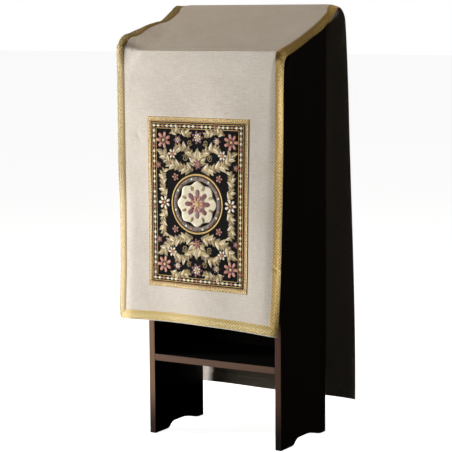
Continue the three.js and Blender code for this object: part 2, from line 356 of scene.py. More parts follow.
@dataclass(frozen=True)
class SatinThread:
    """Rayon floss laid side by side in satin stitch: a soft silky band of parallel threads,
    each a touch lighter or darker than the next."""

    name: str
    light: str
    dark: str
    strand: float = 1.5

    def material(self) -> Material:
        """Builds the material.

        Returns:
            The material.
        """
        made = Shader(self.name)
        at = made.flat()
        strand = made.spots(at, (self.strand, 26.0, 3.0), 0.3, 0.7, 1.0)
        floss = made.bump(made.ribs(at, "X", self.strand / 1.5, 0.6), 0.12)
        return made.finish({"Base Color": made.blend(strand, self.dark, self.light), "Normal": floss,
                            "Roughness": 0.55, "Sheen Weight": 0.1})


class Grain(Enum):
    """Which way a board's grain runs, as the streaks' size along each axis in millimetres."""

    UPRIGHT = (2.2, 2.2, 160.0)
    LEVEL = (160.0, 2.2, 2.2)


@dataclass(frozen=True)
class StainedBoard:
    """Furniture board: satin, with faint streaks of grain. Near black on the lectern's broad faces,
    which is painted shade, and sometimes with painted shade that darkens it towards the floor."""

    name: str
    grain: Grain
    dark: str
    light: str
    roughness: float = 0.5
    # Painted shade towards the floor: its colour, the height where it begins and the height where it is
    # full.
    foot: str | None = None
    shade_top: float = 150.0
    shade_full: float = 20.0

    def material(self) -> Material:
        """Builds the material.

        Returns:
            The material.
        """
        made = Shader(self.name)
        at = made.solid()
        streak = made.spots(at, self.grain.value, 0.3, 0.72, 4.0)
        broad = made.spots(at, tuple(s * 6 for s in self.grain.value), 0.3, 0.7)
        tone = made.blend(streak, self.dark, self.light)
        tone = made.blend(0.35, tone, made.blend(broad, self.dark, self.light))
        # Painted shade: the board darkens towards the floor, where less light reaches.
        if self.foot:
            height = made.add("SeparateXYZ", {0: at}, "Z")
            floor_shade = made.add("MapRange", {"From Min": self.shade_top, "From Max": self.shade_full,
                                          "Value": height}, interpolation_type="SMOOTHSTEP")
            tone = made.blend(floor_shade, tone, self.foot)
        return made.finish({"Base Color": tone, "Normal": made.bump(streak, 0.12),
                            "Roughness": self.roughness, "Specular IOR Level": 0.12})


@dataclass(frozen=True)
class PaleFloor:
    """Matt white studio paper: pale and even."""

    light: str = "#f6f5f3"
    dark: str = "#f1f0ee"
    glow: float = 0.95

    def material(self) -> Material:
        """Builds the material.

        Returns:
            The material.
        """
        made = Shader("studio_paper")
        tooth = made.spots(made.solid(), (300.0, 300.0, 300.0), 0.3, 0.7)
        return made.finish({"Base Color": made.blend(tooth, self.dark, self.light), "Roughness": 0.9,
                            "Emission Color": linear("#ffffff"), "Emission Strength": self.glow})


# ---- the cloth's shape ----


class EdgeRow(NamedTuple):
    """How a side edge leaves the flat at one place: how far out it starts, how steeply it then
    rises, and how steeply its braid does, in degrees."""

    along: float
    start: float
    rise: float
    tip: float


class SlipRow(NamedTuple):
    """How far the cloth's middle line lies to the right of the lectern's."""

    along: float
    right: float


class WaveRow(NamedTuple):
    """A soft wave across the cloth over a stretch of its length."""

    begin: float
    ease_in: float
    end: float
    ease_out: float
    height: float
    length: float
    slant: float
    phase: float


class FoldRow(NamedTuple):
    """A small crease in a straight line on the flat cloth: a ridge, or a groove if negative."""

    along: float
    across: float
    to_along: float
    to_across: float
    width: float
    height: float


class CreaseRow(NamedTuple):
    """The ironed crease over the desk's front edge at one side: how far it stands out in front of
    the board, how high its lip is, and how deep the groove behind the lip."""

    overhang: float
    lip: float
    groove: float


@dataclass
class Drape:
    """The cloth's middle surface, from the flat cloth to the room."""

    origin: Pair
    width: float = 500.0
    front_fall: float = 720.0
    back_fall: float = 1077.0
    thickness: float = 1.4
    braid_width: float = 24.0
    hem_depth: float = 25.0
    hem_thickness: float = 1.2
    desk_width: float = 437.0
    desk_slant: float = 304.0
    desk_slope: float = 21.6
    desk_front: Pair = (-58.0, 1034.5)
    rest_gap: float = 0.4
    edge_gap: float = 2.3
    edge_lift_reach: float = 34.0
    crease_radius: float = 3.0
    back_after: float = 5.0
    back_length: float = 20.0
    hem_swing: float = 22.0
    swing_power: float = 1.6
    side_bend: float = 9.0
    corner_front: float = 26.0
    corner_back: float = 8.0
    # An edge that bends by no more than the first of these is soft; the softness ends over the next.
    shallow: float = 15.0
    shallow_fade: float = 25.0
    soft_bend: float = 16.0
    left_bend: float = 34.0
    fold_ends: float = 0.8
    crease: tuple = (CreaseRow(8.0, 1.6, 1.9), CreaseRow(3.0, 1.0, 0.9))
    crease_at_sides: float = 0.75
    overhang_below: float = 70.0
    overhang_behind: float = 60.0
    lip_below: float = 12.0
    groove_at: float = 5.0
    groove_reach: float = 17.0
    hem_rise: Triple = (4.0, 7.9, 0.5)
    hem_rise_reach: float = 110.0
    crown_drop: Pair = (1.8, 1.0)
    crown_reach: float = 24.0
    # How far to each side the surface's slope is measured.
    probe: float = 0.6
    left_edge: tuple = (
        EdgeRow(-720, 196, -9, -40),
        EdgeRow(-698, 196, -8, -15),
        EdgeRow(-440, 190, -9, -14),
        EdgeRow(-290, 190, -1, -3),
        EdgeRow(-60, 190, 0, -4),
        EdgeRow(-20, 182.5, 11, -10),
        EdgeRow(12, 157, 32, -8),
        EdgeRow(50, 163, 26, 12),
        EdgeRow(95, 167, 33, -40),
        EdgeRow(145, 177.5, 27.5, -52),
        EdgeRow(195, 198, 15.5, -12.5),
        EdgeRow(245, 207.5, 15.5, 11),
        EdgeRow(300, 203, -8, 11.5),
        EdgeRow(400, 196, -2, -5),
        EdgeRow(1383, 196, -4, -8),
    )
    right_edge: tuple = (
        EdgeRow(-720, 190, -2, -22),
        EdgeRow(-640, 196, -6, -4),
        EdgeRow(-560, 197, -6, 5),
        EdgeRow(-330, 198, -6, 1),
        EdgeRow(-150, 202, -12, 8),
        EdgeRow(-110, 203, -11, 8),
        EdgeRow(-62, 208.5, -13, 4),
        EdgeRow(-30, 219.5, -18, -5),
        EdgeRow(0, 226, -46, -36),
        EdgeRow(35, 221.5, -78, -91),
        EdgeRow(80, 221, -82.5, -99),
        EdgeRow(140, 221, -84, -101.5),
        EdgeRow(195, 220.2, -72, -84),
        EdgeRow(235, 222.7, -67, -96),
        EdgeRow(270, 222, -58, -70),
        EdgeRow(300, 220, -37, -41),
        EdgeRow(318, 217, -19, -20),
        EdgeRow(360, 208, -8, -8),
        EdgeRow(430, 200, -8, -8),
        EdgeRow(1383, 196, -4, -8),
    )
    slip: tuple = (
        SlipRow(-720, -9),
        SlipRow(-560, -4),
        SlipRow(-60, -4),
        SlipRow(-20, -0.8),
        SlipRow(70, 16),
        SlipRow(130, 21),
        SlipRow(200, 22),
        SlipRow(250, 17.6),
        SlipRow(306, -1.4),
        SlipRow(370, 8),
        SlipRow(600, 15),
        SlipRow(1383, 38),
    )
    waves: tuple = (
        WaveRow(-722, 1, -30, 160, 1.6, 230, 0.3, 0.4),
        WaveRow(30, 60, 280, 60, 0.5, 210, 0.8, 1.3),
        WaveRow(340, 260, 1385, 1, 3.5, 320, 0.1, 2.1),
    )
    folds: tuple = (
        FoldRow(86, -110, 196, 70, 17.0, 0.5),
        FoldRow(150, -30, 250, 120, 22.0, -0.3),
        FoldRow(-205, -192, -246, -172, 7.0, -1.0),
        FoldRow(-632, 36, -658, 92, 7.0, 1.1),
        FoldRow(-541, 221, -553, 252, 4.0, -1.6),
        FoldRow(-533, 224, -544, 252, 4.5, 1.0),
        FoldRow(-64, 30, -70, 190, 9.0, -0.5),
        FoldRow(16, -290, 16, 260, 8.0, 2.6),
        FoldRow(40, -226, -2, -196, 4.0, -3.0),
    )
    line_at: np.ndarray = field(init=False, repr=False)
    flat_line: np.ndarray = field(init=False, repr=False)
    round_line: np.ndarray = field(init=False, repr=False)
    flat_normal: np.ndarray = field(init=False, repr=False)
    round_normal: np.ndarray = field(init=False, repr=False)
    walk_at: np.ndarray = field(init=False, repr=False)
    walked: np.ndarray = field(init=False, repr=False)

    def __post_init__(self) -> None:
        """Works out the middle line once, at close places."""
        margin, trim = 60, 30
        front, back = self.front_fall + margin, self.back_hem + margin
        walked_front, walked_back = self.walk(-1, int(front)), self.walk(1, int(back))
        self.walk_at = np.arange(-front, back + 0.5)
        self.walked = np.vstack([walked_front[:0:-1], walked_back])
        self.line_at = np.arange(-front + trim, back - trim, 0.5)
        self.flat_line = self.middle(self.line_at)
        reach = np.where(self.line_at < self.back_edge / 2, self.corner_front, self.corner_back)
        steps = np.linspace(-1.0, 1.0, 25)
        self.round_line = sum(self.middle(self.line_at + reach * k) for k in steps) / len(steps)
        self.flat_normal = self.line_normal(self.flat_line)
        self.round_normal = self.line_normal(self.round_line)

    @property
    def front_hem(self) -> float:
        """Place along of the front hem."""
        return -self.front_fall

    @property
    def back_edge(self) -> float:
        """Place along where the cloth leaves the desk."""
        return self.desk_slant + 2.0

    @property
    def back_hem(self) -> float:
        """Place along of the back hem."""
        return self.back_edge + self.back_fall

    @property
    def braid_line(self) -> float:
        """Distance from the middle line to the side braid's inner edge."""
        return self.width / 2 - self.braid_width

    def heading(self, along: np.ndarray) -> np.ndarray:
        """Direction of the middle line above the horizontal.

        Args:
            along: places along the cloth.

        Returns:
            The angle at each place, in radians.
        """
        slope = math.radians(self.desk_slope)
        turn = math.pi / 2 - slope
        front = math.pi / 2 - turn * np.clip(along / (self.crease_radius * turn) + 0.5, 0, 1)
        past = along - self.back_edge - self.back_after
        left = np.exp(-np.maximum(past, 0) / self.back_length)
        return np.where(past < 0, front, -math.pi / 2 + (slope + math.pi / 2) * left)

    def walk(self, way: int, length: int) -> np.ndarray:
        """Walks the middle line out from the crease, a millimetre at a time.

        Args:
            way: -1 down the front fall, 1 up the desk.
            length: how far.

        Returns:
            Depth and height of each point.
        """
        slope = math.radians(self.desk_slope)
        half = (math.pi / 2 - slope) / 2
        gap = self.edge_gap + self.thickness / 2
        inset = self.crease_radius * (1 / math.cos(half) - 1)
        rise = gap * (1 - math.sin(slope)) / math.cos(slope)
        start = [
            self.desk_front[0] - gap + inset * math.cos(half),
            self.desk_front[1] + rise - inset * math.sin(half),
        ]
        angle = self.heading(way * (np.arange(length) + 0.5))
        step = way * np.stack([np.cos(angle), np.sin(angle)], -1)
        return np.vstack([start, start + np.cumsum(step, axis=0)])

    def middle(self, along: np.ndarray) -> np.ndarray:
        """Depth and height of the middle line.

        Args:
            along: places along the cloth.

        Returns:
            A row for each place.
        """
        near = np.minimum(along, self.back_edge - along)
        lift = (self.rest_gap - self.edge_gap) * ease(near / self.edge_lift_reach)
        lift = np.where((along > 0) & (along < self.back_edge), lift, 0.0)
        angle = self.heading(along)
        off = np.stack([-np.sin(angle) * lift, np.cos(angle) * lift], -1)
        return follow(along, self.walk_at, self.walked) + off

    @staticmethod
    def line_normal(line: np.ndarray) -> np.ndarray:
        """Unit normals of a line in depth and height, towards the face side."""
        way = np.gradient(line, axis=0)
        return unit(np.stack([-way[:, 1], way[:, 0]], -1))

    def section(self, along: np.ndarray, across: np.ndarray) -> tuple[np.ndarray, ...]:
        """Cross-section of the cloth at the side edges.

        Args:
            along: places along the cloth.
            across: places across it.

        Returns:
            How far out and how far off the face each point lies, and how much it follows
            the rounded line.
        """
        distance, left = np.abs(across), across < 0
        start, rise, tip = (
            np.where(left, column(self.left_edge, name, along), column(self.right_edge, name, along))
            for name in EdgeRow._fields[1:]
        )
        soft = self.soft_bend * (1 - ease((np.abs(rise) - self.shallow) / self.shallow_fade))
        bend = self.side_bend + soft
        bend = np.where(left, np.maximum(bend, self.left_bend), bend)
        rise, tip = np.radians(rise), np.radians(tip)
        steps = 16
        step = np.maximum(distance - start, 0) / steps
        out, off = np.minimum(distance, start), np.zeros_like(step)
        for k in range(steps):
            at = start + (k + 0.5) * step
            angle = rise * ease((at - start) / bend)
            angle = angle + (tip - rise) * ease((at - self.braid_line) / self.braid_width)
            out, off = out + step * np.cos(angle), off + step * np.sin(angle)
        weight = ease((distance - start) / np.maximum(self.side_bend, self.braid_line - start))
        return out, off, weight

    def lifts(self, along: np.ndarray, across: np.ndarray, x: np.ndarray) -> np.ndarray:
        """Waves, small creases and the lift over the desk's side edges.

        Args:
            along: places along the cloth.
            across: places across it.
            x: how far right of the lectern's middle each lies.

        Returns:
            Height off the face.
        """
        total = np.zeros_like(along)
        for w in self.waves:
            part = ease((along - w.begin) / w.ease_in) * ease((w.end - along) / w.ease_out)
            swell = np.sin(TURN * (across + w.slant * along) / w.length + w.phase)
            total += part * w.height * (1 + swell)
        for f in self.folds:
            way = np.array([f.to_along - f.along, f.to_across - f.across])
            length = math.hypot(*way)
            u = ((along - f.along) * way[0] + (across - f.across) * way[1]) / length**2
            v = ((along - f.along) * way[1] - (across - f.across) * way[0]) / length
            ends = np.sin(math.pi * np.clip(u, 0, 1)) ** self.fold_ends
            total += f.height * ends * ridge(v, 0.0, f.width)
        near = np.minimum(along, self.back_edge - along) / self.edge_lift_reach
        out = (np.abs(x) - self.desk_width / 2 + self.edge_lift_reach) / self.edge_lift_reach
        return total + (self.edge_gap - self.rest_gap) * ease(near) * ease(out)

    def hem_lift(self, along: np.ndarray, side: np.ndarray) -> np.ndarray:
        """How far the bowed front hem is drawn up.

        Args:
            along: places along the cloth.
            side: where across it each lies, from 0 at the left edge to 1 at the right.

        Returns:
            The distance, fading out above the hem.
        """
        left, middle, right = self.hem_rise
        bow = left * (1 - side) + right * side + 4 * middle * side * (1 - side)
        return bow * ease((self.front_hem + self.hem_rise_reach - along) / self.hem_rise_reach)

    def crease_shift(self, along: np.ndarray, side: np.ndarray) -> tuple[np.ndarray, np.ndarray]:
        """How the ironed crease departs from the plain bend over the desk's front edge.

        Args:
            along: places along the cloth.
            side: where across it each lies, from 0 at the left to 1 at the right.

        Returns:
            The shift down the desk's slope, and the shift off it.
        """
        overhang, lip, groove = (left + (right - left) * side for left, right in zip(*self.crease))

        def hump(before: float, behind: float) -> np.ndarray:
            """A rise up to the crease and a fall behind it."""
            return np.where(along < 0, ease(along / before + 1), 1 - ease(along / behind))

        dip = ease(along / self.groove_at) * (1 - ease((along - self.groove_at) / self.groove_reach))
        forward = overhang * hump(self.overhang_below, self.overhang_behind)
        return forward, lip * hump(self.lip_below, self.groove_at) - groove * dip

    def surface(self, along: np.ndarray, across: np.ndarray) -> np.ndarray:
        """Points of the middle surface.

        Args:
            along: places along the cloth.
            across: places across it.

        Returns:
            Places in the room, in millimetres.
        """
        along, across = np.broadcast_arrays(np.asarray(along, float), np.asarray(across, float))
        side = ease(across / self.width + 0.5)
        along = along + self.hem_lift(along, across / self.width + 0.5)
        out, off, weight = self.section(along, across)
        share = weight[..., None]
        line, normal = (
            (1 - share) * follow(along, self.line_at, flat) + share * follow(along, self.line_at, rounded)
            for flat, rounded in ((self.flat_line, self.round_line), (self.flat_normal, self.round_normal))
        )
        normal = unit(normal)
        x = column(self.slip, "right", along) + np.sign(across) * out
        lift = off + self.lifts(along, across, x)
        swing = self.hem_swing * np.maximum(along / self.front_hem, 0) ** self.swing_power * side
        forward, up = self.crease_shift(along, side)
        forward = forward * (1 - self.crease_at_sides * weight)
        slope = math.radians(self.desk_slope)
        left, right = self.crown_drop
        drop = (left + (right - left) * side) * ridge(along, self.back_edge, self.crown_reach)
        return np.stack([
            x + self.origin[0],
            line[..., 0] + normal[..., 0] * lift - swing - math.sin(slope) * up - math.cos(slope) * forward
            + self.origin[1],
            line[..., 1] + normal[..., 1] * lift + math.cos(slope) * up - math.sin(slope) * forward - drop,
        ], -1)

    def face(self, along: np.ndarray, across: np.ndarray, height: np.ndarray) -> np.ndarray:
        """Points at a height off the middle surface.

        Args:
            along: places along the cloth.
            across: places across it.
            height: how far off it, towards the face side.

        Returns:
            Places in the room, in metres.
        """
        given = (np.asarray(v, float) for v in (along, across, height))
        along, across, height = np.broadcast_arrays(*given)
        du = self.surface(along, across + self.probe) - self.surface(along, across - self.probe)
        ds = self.surface(along + self.probe, across) - self.surface(along - self.probe, across)
        return (self.surface(along, across) + unit(np.cross(du, ds)) * height[..., None]) * MM


# ---- making pieces ----


def put(name: str, data: bpy.types.ID) -> Piece:
    """Puts an object in the scene.

    Args:
        name: its name.
        data: its mesh, light or camera.

    Returns:
        The object.
    """
    made = bpy.data.objects.new(name, data)
    bpy.context.scene.collection.objects.link(made)
    return made


@dataclass(frozen=True)
class Label:
    """A piece's name, the record's material slot, its finish, and the node that it stands for."""

    name: str
    slot: str
    material: Material
    node: str | None = None

    def make(self, points: np.ndarray, faces: list, flat: np.ndarray) -> Piece:
        """Makes the piece of a mesh.

        Args:
            points: its points, in metres.
            faces: its faces, as lists of point numbers.
            flat: each point's place on the flat cloth, for its finish.

        Returns:
            The piece.
        """
        mesh = bpy.data.meshes.new(self.name)
        mesh.from_pydata(points.tolist(), [], faces)
        places = mesh.attributes.new(FLAT, "FLOAT_VECTOR", "POINT")
        places.data.foreach_set("vector", flat.astype(np.float32).ravel())
        mesh.polygons.foreach_set("use_smooth", [True] * len(mesh.polygons))
        mesh.materials.append(self.material)
        mesh.update()
        return self.attach(put(self.name, mesh))

    def attach(self, made: Piece) -> Piece:
        """Lets a piece ride with the lectern.

        Args:
            made: the piece.

        Returns:
            The same piece.
        """
        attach(made, BODY)
        if self.node:
            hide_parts(self.node)
        return made


def sheet_faces(rows: int, columns: int) -> list:
    """Faces of a closed sheet: a grid of points, the same grid under it, and the rim between.

    Args:
        rows: how many rows of points.
        columns: how many points in a row.

    Returns:
        The faces.
    """
    under = rows * columns
    j, i = np.meshgrid(np.arange(rows - 1), np.arange(columns - 1), indexing="ij")
    first = j * columns + i
    quads = np.stack([first, first + 1, first + columns + 1, first + columns], -1).reshape(-1, 4)
    ring = [*range(columns), *(j * columns + columns - 1 for j in range(1, rows))]
    ring += [(rows - 1) * columns + i for i in range(columns - 2, -1, -1)]
    ring += [j * columns for j in range(rows - 2, 0, -1)]
    rim = [[a, a + under, b + under, b] for a, b in zip(ring, ring[1:] + ring[:1])]
    return quads.tolist() + (quads[:, ::-1] + under).tolist() + rim


def tube_faces(rings: int, sides: int, closed: bool = False) -> list:
    """Faces between rings of so many points each, the last joined to the first if it is closed."""
    return [[r * sides + k, r * sides + (k + 1) % sides, (r + 1) % rings * sides + (k + 1) % sides,
             (r + 1) % rings * sides + k] for r in range(rings - (not closed)) for k in range(sides)]


def sheet_piece(drape: Drape, label: Label, along: np.ndarray, across: np.ndarray,
                low: np.ndarray | float, high: np.ndarray | float, band: np.ndarray | None = None) -> Piece:
    """A closed sheet that follows the cloth.

    Args:
        drape: the cloth's shape.
        label: what the piece is.
        along: places along the cloth, a grid.
        across: places across it, a grid.
        low: height of its underside off the cloth's middle.
        high: height of its face.
        band: for a braid, where across it each point lies, from 0 inside to 1 outside.

    Returns:
        The piece.
    """
    low, high = np.broadcast_to(low, along.shape), np.broadcast_to(high, along.shape)
    points = np.vstack([drape.face(along, across, h).reshape(-1, 3) for h in (high, low)])
    third = (high, low) if band is None else (band, band)
    flat = np.vstack([np.stack([across, along, h], -1).reshape(-1, 3) for h in third])
    made = label.make(points, sheet_faces(*along.shape), flat)
    # The thin rim stays crisp, so that it doesn't shade the face beside it.
    made.data.set_sharp_from_angle(angle=math.radians(50))
    return made


# ---- pieces ----


@dataclass
class Cloth:
    """The long cloth itself, its back hem turned up on the wrong side."""

    drape: Drape
    side_step: float = 2.8
    middle_step: float = 7.0
    side_from: float = 176.0

    def grid(self) -> tuple[np.ndarray, np.ndarray]:
        """Lays out the cloth's points, closer where it bends.

        Returns:
            Places along and across the cloth.
        """
        d = self.drape
        half, hem = d.width / 2, d.back_hem - d.hem_depth
        # Each pair is a place and the spacing up to it.
        along = spaced(
            d.front_hem, (-575, 6.0), (-515, 2.4), (-120, 6.5), (-24, 5.0), (24, 1.0), (150, 4.0),
            (d.back_edge - 24, 5.0), (d.back_edge + 60, 3.0), (d.back_edge + 180, 8.0),
            (hem - 1, 11.0), (hem + 1, 1.0), (d.back_hem, 6.0),
        )
        across = spaced(-half, (-self.side_from, self.side_step), (self.side_from, self.middle_step),
                        (half, self.side_step))
        return np.meshgrid(along, across, indexing="ij")

    def build(self, material: Material) -> Piece:
        """Builds the cloth.

        Args:
            material: its finish.

        Returns:
            The cloth.
        """
        d = self.drape
        along, across = self.grid()
        half = d.thickness / 2
        hem = ease(along - (d.back_hem - d.hem_depth)) * d.hem_thickness
        label = Label("linen_cloth", "linen", material, "cloth")
        return sheet_piece(d, label, along, across, -half - hem, half)


@dataclass
class StitchLine:
    """A row of running stitches in thick thread."""

    drape: Drape
    length: float = 3.0
    pitch: float = 4.6
    thick: float = 0.42
    crown: float = 0.34
    # How far along each ring of a stitch lies, as a share, and how full it is.
    rings: tuple = ((0.0, 0.35), (0.25, 0.9), (0.75, 0.9), (1.0, 0.35))
    profile: tuple = ((-1, -0.3), (-0.7, 1), (0.7, 1), (1, -0.3))

    def build(self, label: Label, lines: list) -> Piece:
        """Builds every stitch of some lines as one piece.

        Args:
            label: what the piece is.
            lines: for each line, its start and end as (along, across), and its height.

        Returns:
            The stitches.
        """
        starts, ways, heights = [], [], []
        for (a0, c0), (a1, c1), height in lines:
            total = math.hypot(a1 - a0, c1 - c0)
            count = int(total // self.pitch)
            way = np.array([a1 - a0, c1 - c0]) / total
            first = (total - count * self.pitch) / 2 + (self.pitch - self.length) / 2
            starts += [np.array([a0, c0]) + way * (first + k * self.pitch) for k in range(count)]
            ways += [way] * count
            heights += [height] * count
        start, way, base = np.array(starts), np.array(ways), np.array(heights)
        side = np.stack([-way[:, 1], way[:, 0]], -1) * self.thick / 2
        points, flats = [], []
        for t, swell in self.rings:
            centre = start + way * self.length * t
            for dx, dz in self.profile:
                place = centre + side * dx * swell
                height = base + self.crown * dz * swell
                points.append(self.drape.face(place[:, 0], place[:, 1], height))
                flats.append(np.column_stack(np.broadcast_arrays(dx, t * self.length, height)))
        sides = len(self.profile)
        one = tube_faces(len(self.rings), sides)
        one += [list(range(sides))[::-1], [len(points) - sides + k for k in range(sides)]]
        faces = [[len(points) * n + v for v in quad] for n in range(len(start)) for quad in one]
        return label.make(np.stack(points, 1).reshape(-1, 3), faces, np.stack(flats, 1).reshape(-1, 3))


@dataclass
class BraidBorder:
    """The gold braid round the edge of the face: corded rims with a herringbone between."""

    drape: Drape
    front_width: float = 26.5
    lift: float = 0.75
    body: float = 0.45
    rim: float = 0.08
    rim_at: float = 0.12
    rim_width: float = 0.05
    rib: float = 0.18
    rib_pitch: float = 5.0
    edge_ramp: float = 0.3
    edge_low: float = 0.12
    columns: int = 15
    step: float = 2.4
    mitre_tip: float = 1.0
    mitre_gap: float = 0.5
    # Where a mitre leaves a braid narrower than this, its relief is flattened to the next share.
    narrow: float = 2.0
    narrow_relief: float = 0.6
    hem_show: float = 1.8
    stitch_in: float = 2.6
    stitch_lift: float = 0.1

    def mitre(self, share: np.ndarray) -> np.ndarray:
        """Where a side braid's inner edge lies near an end of the cloth.

        Args:
            share: distance from the nearer hem, as a share of the braid's width there.

        Returns:
            Distance from the middle line.
        """
        d = self.drape
        outer = d.width / 2 - self.mitre_tip
        return outer + (d.braid_line - outer) * np.minimum(1, share)

    def relief(self, t: np.ndarray, run: np.ndarray) -> np.ndarray:
        """Height of the braid's face over its underside.

        Args:
            t: where across the braid, from 0 to 1.
            run: distance along it.

        Returns:
            The height.
        """
        rim = np.maximum(ridge(t, self.rim_at, self.rim_width), ridge(t, 1 - self.rim_at, self.rim_width))
        slant = np.abs(t - 0.5) * self.drape.braid_width
        ribs = 0.5 + 0.5 * np.cos(TURN * (run + slant) / self.rib_pitch)
        edge = ease(t / self.edge_ramp) * ease((1 - t) / self.edge_ramp)
        height = self.body + self.rib * ribs * (1 - rim) + self.rim * rim
        return height * (self.edge_low + (1 - self.edge_low) * edge)

    def lay(self, label: Label, along: np.ndarray, across: np.ndarray, height: np.ndarray) -> Piece:
        """Lays a braid on the cloth.

        Args:
            label: what the piece is.
            along: places along the cloth, a grid.
            across: places across it, a grid.
            height: the braid's height, a grid.

        Returns:
            The braid.
        """
        d = self.drape
        side = (np.abs(across) - d.braid_line) / d.braid_width
        front = (d.front_hem + self.front_width - along) / self.front_width
        band = np.maximum(side, np.maximum(front, (along - d.back_hem + d.braid_width) / d.braid_width))
        return sheet_piece(d, label, along, across, self.lift, self.lift + height, band)

    def side(self, label: Label, sign: int) -> Piece:
        """Braid down one long edge, its ends cut to a mitre.

        Args:
            label: what the piece is.
            sign: -1 for the left edge, 1 for the right.

        Returns:
            The braid.
        """
        d = self.drape
        run = spaced(d.front_hem, (d.back_hem, self.step))
        ends = np.minimum((run - d.front_hem) / self.front_width, (d.back_hem - run) / d.braid_width)
        inner = self.mitre(ends)[:, None]
        distance = inner + (d.width / 2 - inner) * np.linspace(0, 1, self.columns)[None, :]
        across = np.sort(sign * distance, axis=1)
        along = np.broadcast_to(run[:, None], across.shape)
        height = self.relief((np.abs(across) - d.braid_line) / d.braid_width, along)
        pinched = distance.ptp(axis=1, keepdims=True) < self.narrow
        return self.lay(label, along, across, height * np.where(pinched, self.narrow_relief, 1.0))

    def end(self, label: Label, hem: float, inward: int) -> Piece:
        """Braid across one end, mitred to meet the side braids.

        Args:
            label: what the piece is.
            hem: the hem's place along the cloth.
            inward: 1 where the cloth lies at greater places, -1 where at smaller.

        Returns:
            The braid.
        """
        d = self.drape
        wide = self.front_width if inward > 0 else d.braid_width
        t = np.linspace(0, 1, self.columns)
        run = np.linspace(-1, 1, round(d.width / self.step))
        across = (self.mitre(t) - self.mitre_gap)[:, None] * run[None, :]
        depth = self.hem_show + t * (wide - self.hem_show)
        along = np.broadcast_to((hem + inward * depth)[:, None], across.shape)
        height = self.relief(np.broadcast_to(t[:, None], across.shape), across)
        return self.lay(label, along[::inward], across[::inward], height[::inward])

    def stitches(self, label: Label) -> Piece:
        """Two rows of stitches that hold the braid down.

        Args:
            label: what the piece is.

        Returns:
            The stitches.
        """
        d = self.drape
        height = self.lift + self.body + self.stitch_lift
        lines = []
        for away in (self.stitch_in, d.braid_width - self.stitch_in):
            side, low, high = d.width / 2 - away, d.front_hem + away, d.back_hem - away
            lines += [((low, s * side), (high, s * side), height) for s in (-1, 1)]
            lines += [((a, -side), (a, side), height) for a in (low, high)]
        return StitchLine(d).build(label, lines)

    def build(self, left: Material, right: Material, level: Material, thread: Material) -> list[Piece]:
        """Builds the four braids and their stitches.

        Args:
            left: the finish of the braid down the left side.
            right: the finish of the braid down the right side.
            level: the finish of the braids across the ends.
            thread: the thread's finish.

        Returns:
            The pieces.
        """
        d = self.drape
        return [
            self.side(Label("gold_braid_left", "braid", left, "braid_left"), -1),
            self.side(Label("gold_braid_right", "braid", right, "braid_right"), 1),
            self.end(Label("gold_braid_front_hem", "braid", level, "braid_front_hem"), d.front_hem, 1),
            self.end(Label("gold_braid_back_hem", "braid", level, "braid_back_hem"), d.back_hem, -1),
            self.stitches(Label("braid_stitches", "braid", thread)),
        ]


@dataclass
class Needlework:
    """Raised satin stitch on the panel: gathers patches and cords of one thread colour."""

    drape: Drape
    centre: float
    base: float
    points: list = field(default_factory=list)
    flats: list = field(default_factory=list)
    faces: list = field(default_factory=list)
    count: int = 0
    # The rings of a padded patch: how wide each is and how high, as shares.
    padding: tuple = ((1.0, DIP), (1.0, 0.25), (0.93, 0.72), (0.72, 0.95), (0.4, 1.0))
    # A cord's cross-section: how far out each point is and how high, as shares.
    section: tuple = ((-1, DIP), (-0.75, 0.8), (0, 1.0), (0.75, 0.8), (1, DIP))

    def store(self, place: np.ndarray, height: np.ndarray, flat: np.ndarray, faces: list) -> None:
        """Adds points and faces.

        Args:
            place: each point's place on the panel, right and up from its middle.
            height: its height over the panel.
            flat: its place for the finish: across the threads, then along them.
            faces: faces, numbered from this part's first point.
        """
        # Each patch has its own place in the noise, so that neighbours differ a little in shade.
        shades = 97
        room = self.drape.face(self.centre + place[:, 1], place[:, 0], self.base + height)
        self.points.append(room)
        self.flats.append(np.column_stack([flat, np.full(len(flat), float(self.count % shades))]))
        self.faces += [[self.count + v for v in face] for face in faces]
        self.count += len(place)

    def patch(self, outline: np.ndarray, height: float, thread: float, lift: float = 0.0) -> None:
        """Adds a padded patch with a round crown.

        Args:
            outline: its outline on the panel, anticlockwise.
            height: its crown.
            thread: the direction of its threads, in radians.
            lift: how far it stands over the ground.
        """
        n, rings = len(outline), len(self.padding)
        middle = outline.mean(axis=0)
        place = np.vstack([middle + (outline - middle) * s for s, _ in self.padding] + [middle, middle])
        levels = [np.full(n, h * height) for _, h in self.padding]
        level = np.concatenate(levels + [[height], [DIP * height]])
        turn = np.array([[math.sin(thread), -math.cos(thread)], [math.cos(thread), math.sin(thread)]])
        last, top = (rings - 1) * n, rings * n
        faces = tube_faces(rings, n)
        faces += [[last + k, last + (k + 1) % n, top] for k in range(n)]
        faces += [[(k + 1) % n, k, top + 1] for k in range(n)]
        self.store(place, lift + level, place @ turn.T, faces)

    def cord(self, line: np.ndarray, width: float | np.ndarray, height: float, closed: bool = False,
             lift: float = 0.0) -> None:
        """Adds a raised line or band.

        Args:
            line: its middle line on the panel.
            width: its width, the same all along or at each point.
            height: its height.
            closed: whether its ends join.
            lift: how far it stands over the ground.
        """
        n, m = len(line), len(self.section)
        way = unit((np.roll(line, -1, 0) - np.roll(line, 1, 0)) if closed else np.gradient(line, axis=0))
        width = np.broadcast_to(width, n)[:, None]
        side = np.stack([-way[:, 1], way[:, 0]], -1) * width / 2
        place = np.stack([line + side * s for s, _ in self.section], 1).reshape(-1, 2)
        level = np.tile([h * height for _, h in self.section], n)
        out = (width * [s for s, _ in self.section]).ravel()
        flat = np.column_stack([np.repeat(distances(line), m), out])
        faces = [[b, a, d, c] for a, b, c, d in tube_faces(n, m, closed)]
        if not closed:
            faces += [list(range(m)), [(n - 1) * m + k for k in range(m - 1, -1, -1)]]
        self.store(place, lift + level, flat, faces)

    def build(self, label: Label) -> Piece:
        """Makes one piece of everything gathered."""
        return label.make(np.vstack(self.points), self.faces, np.vstack(self.flats))


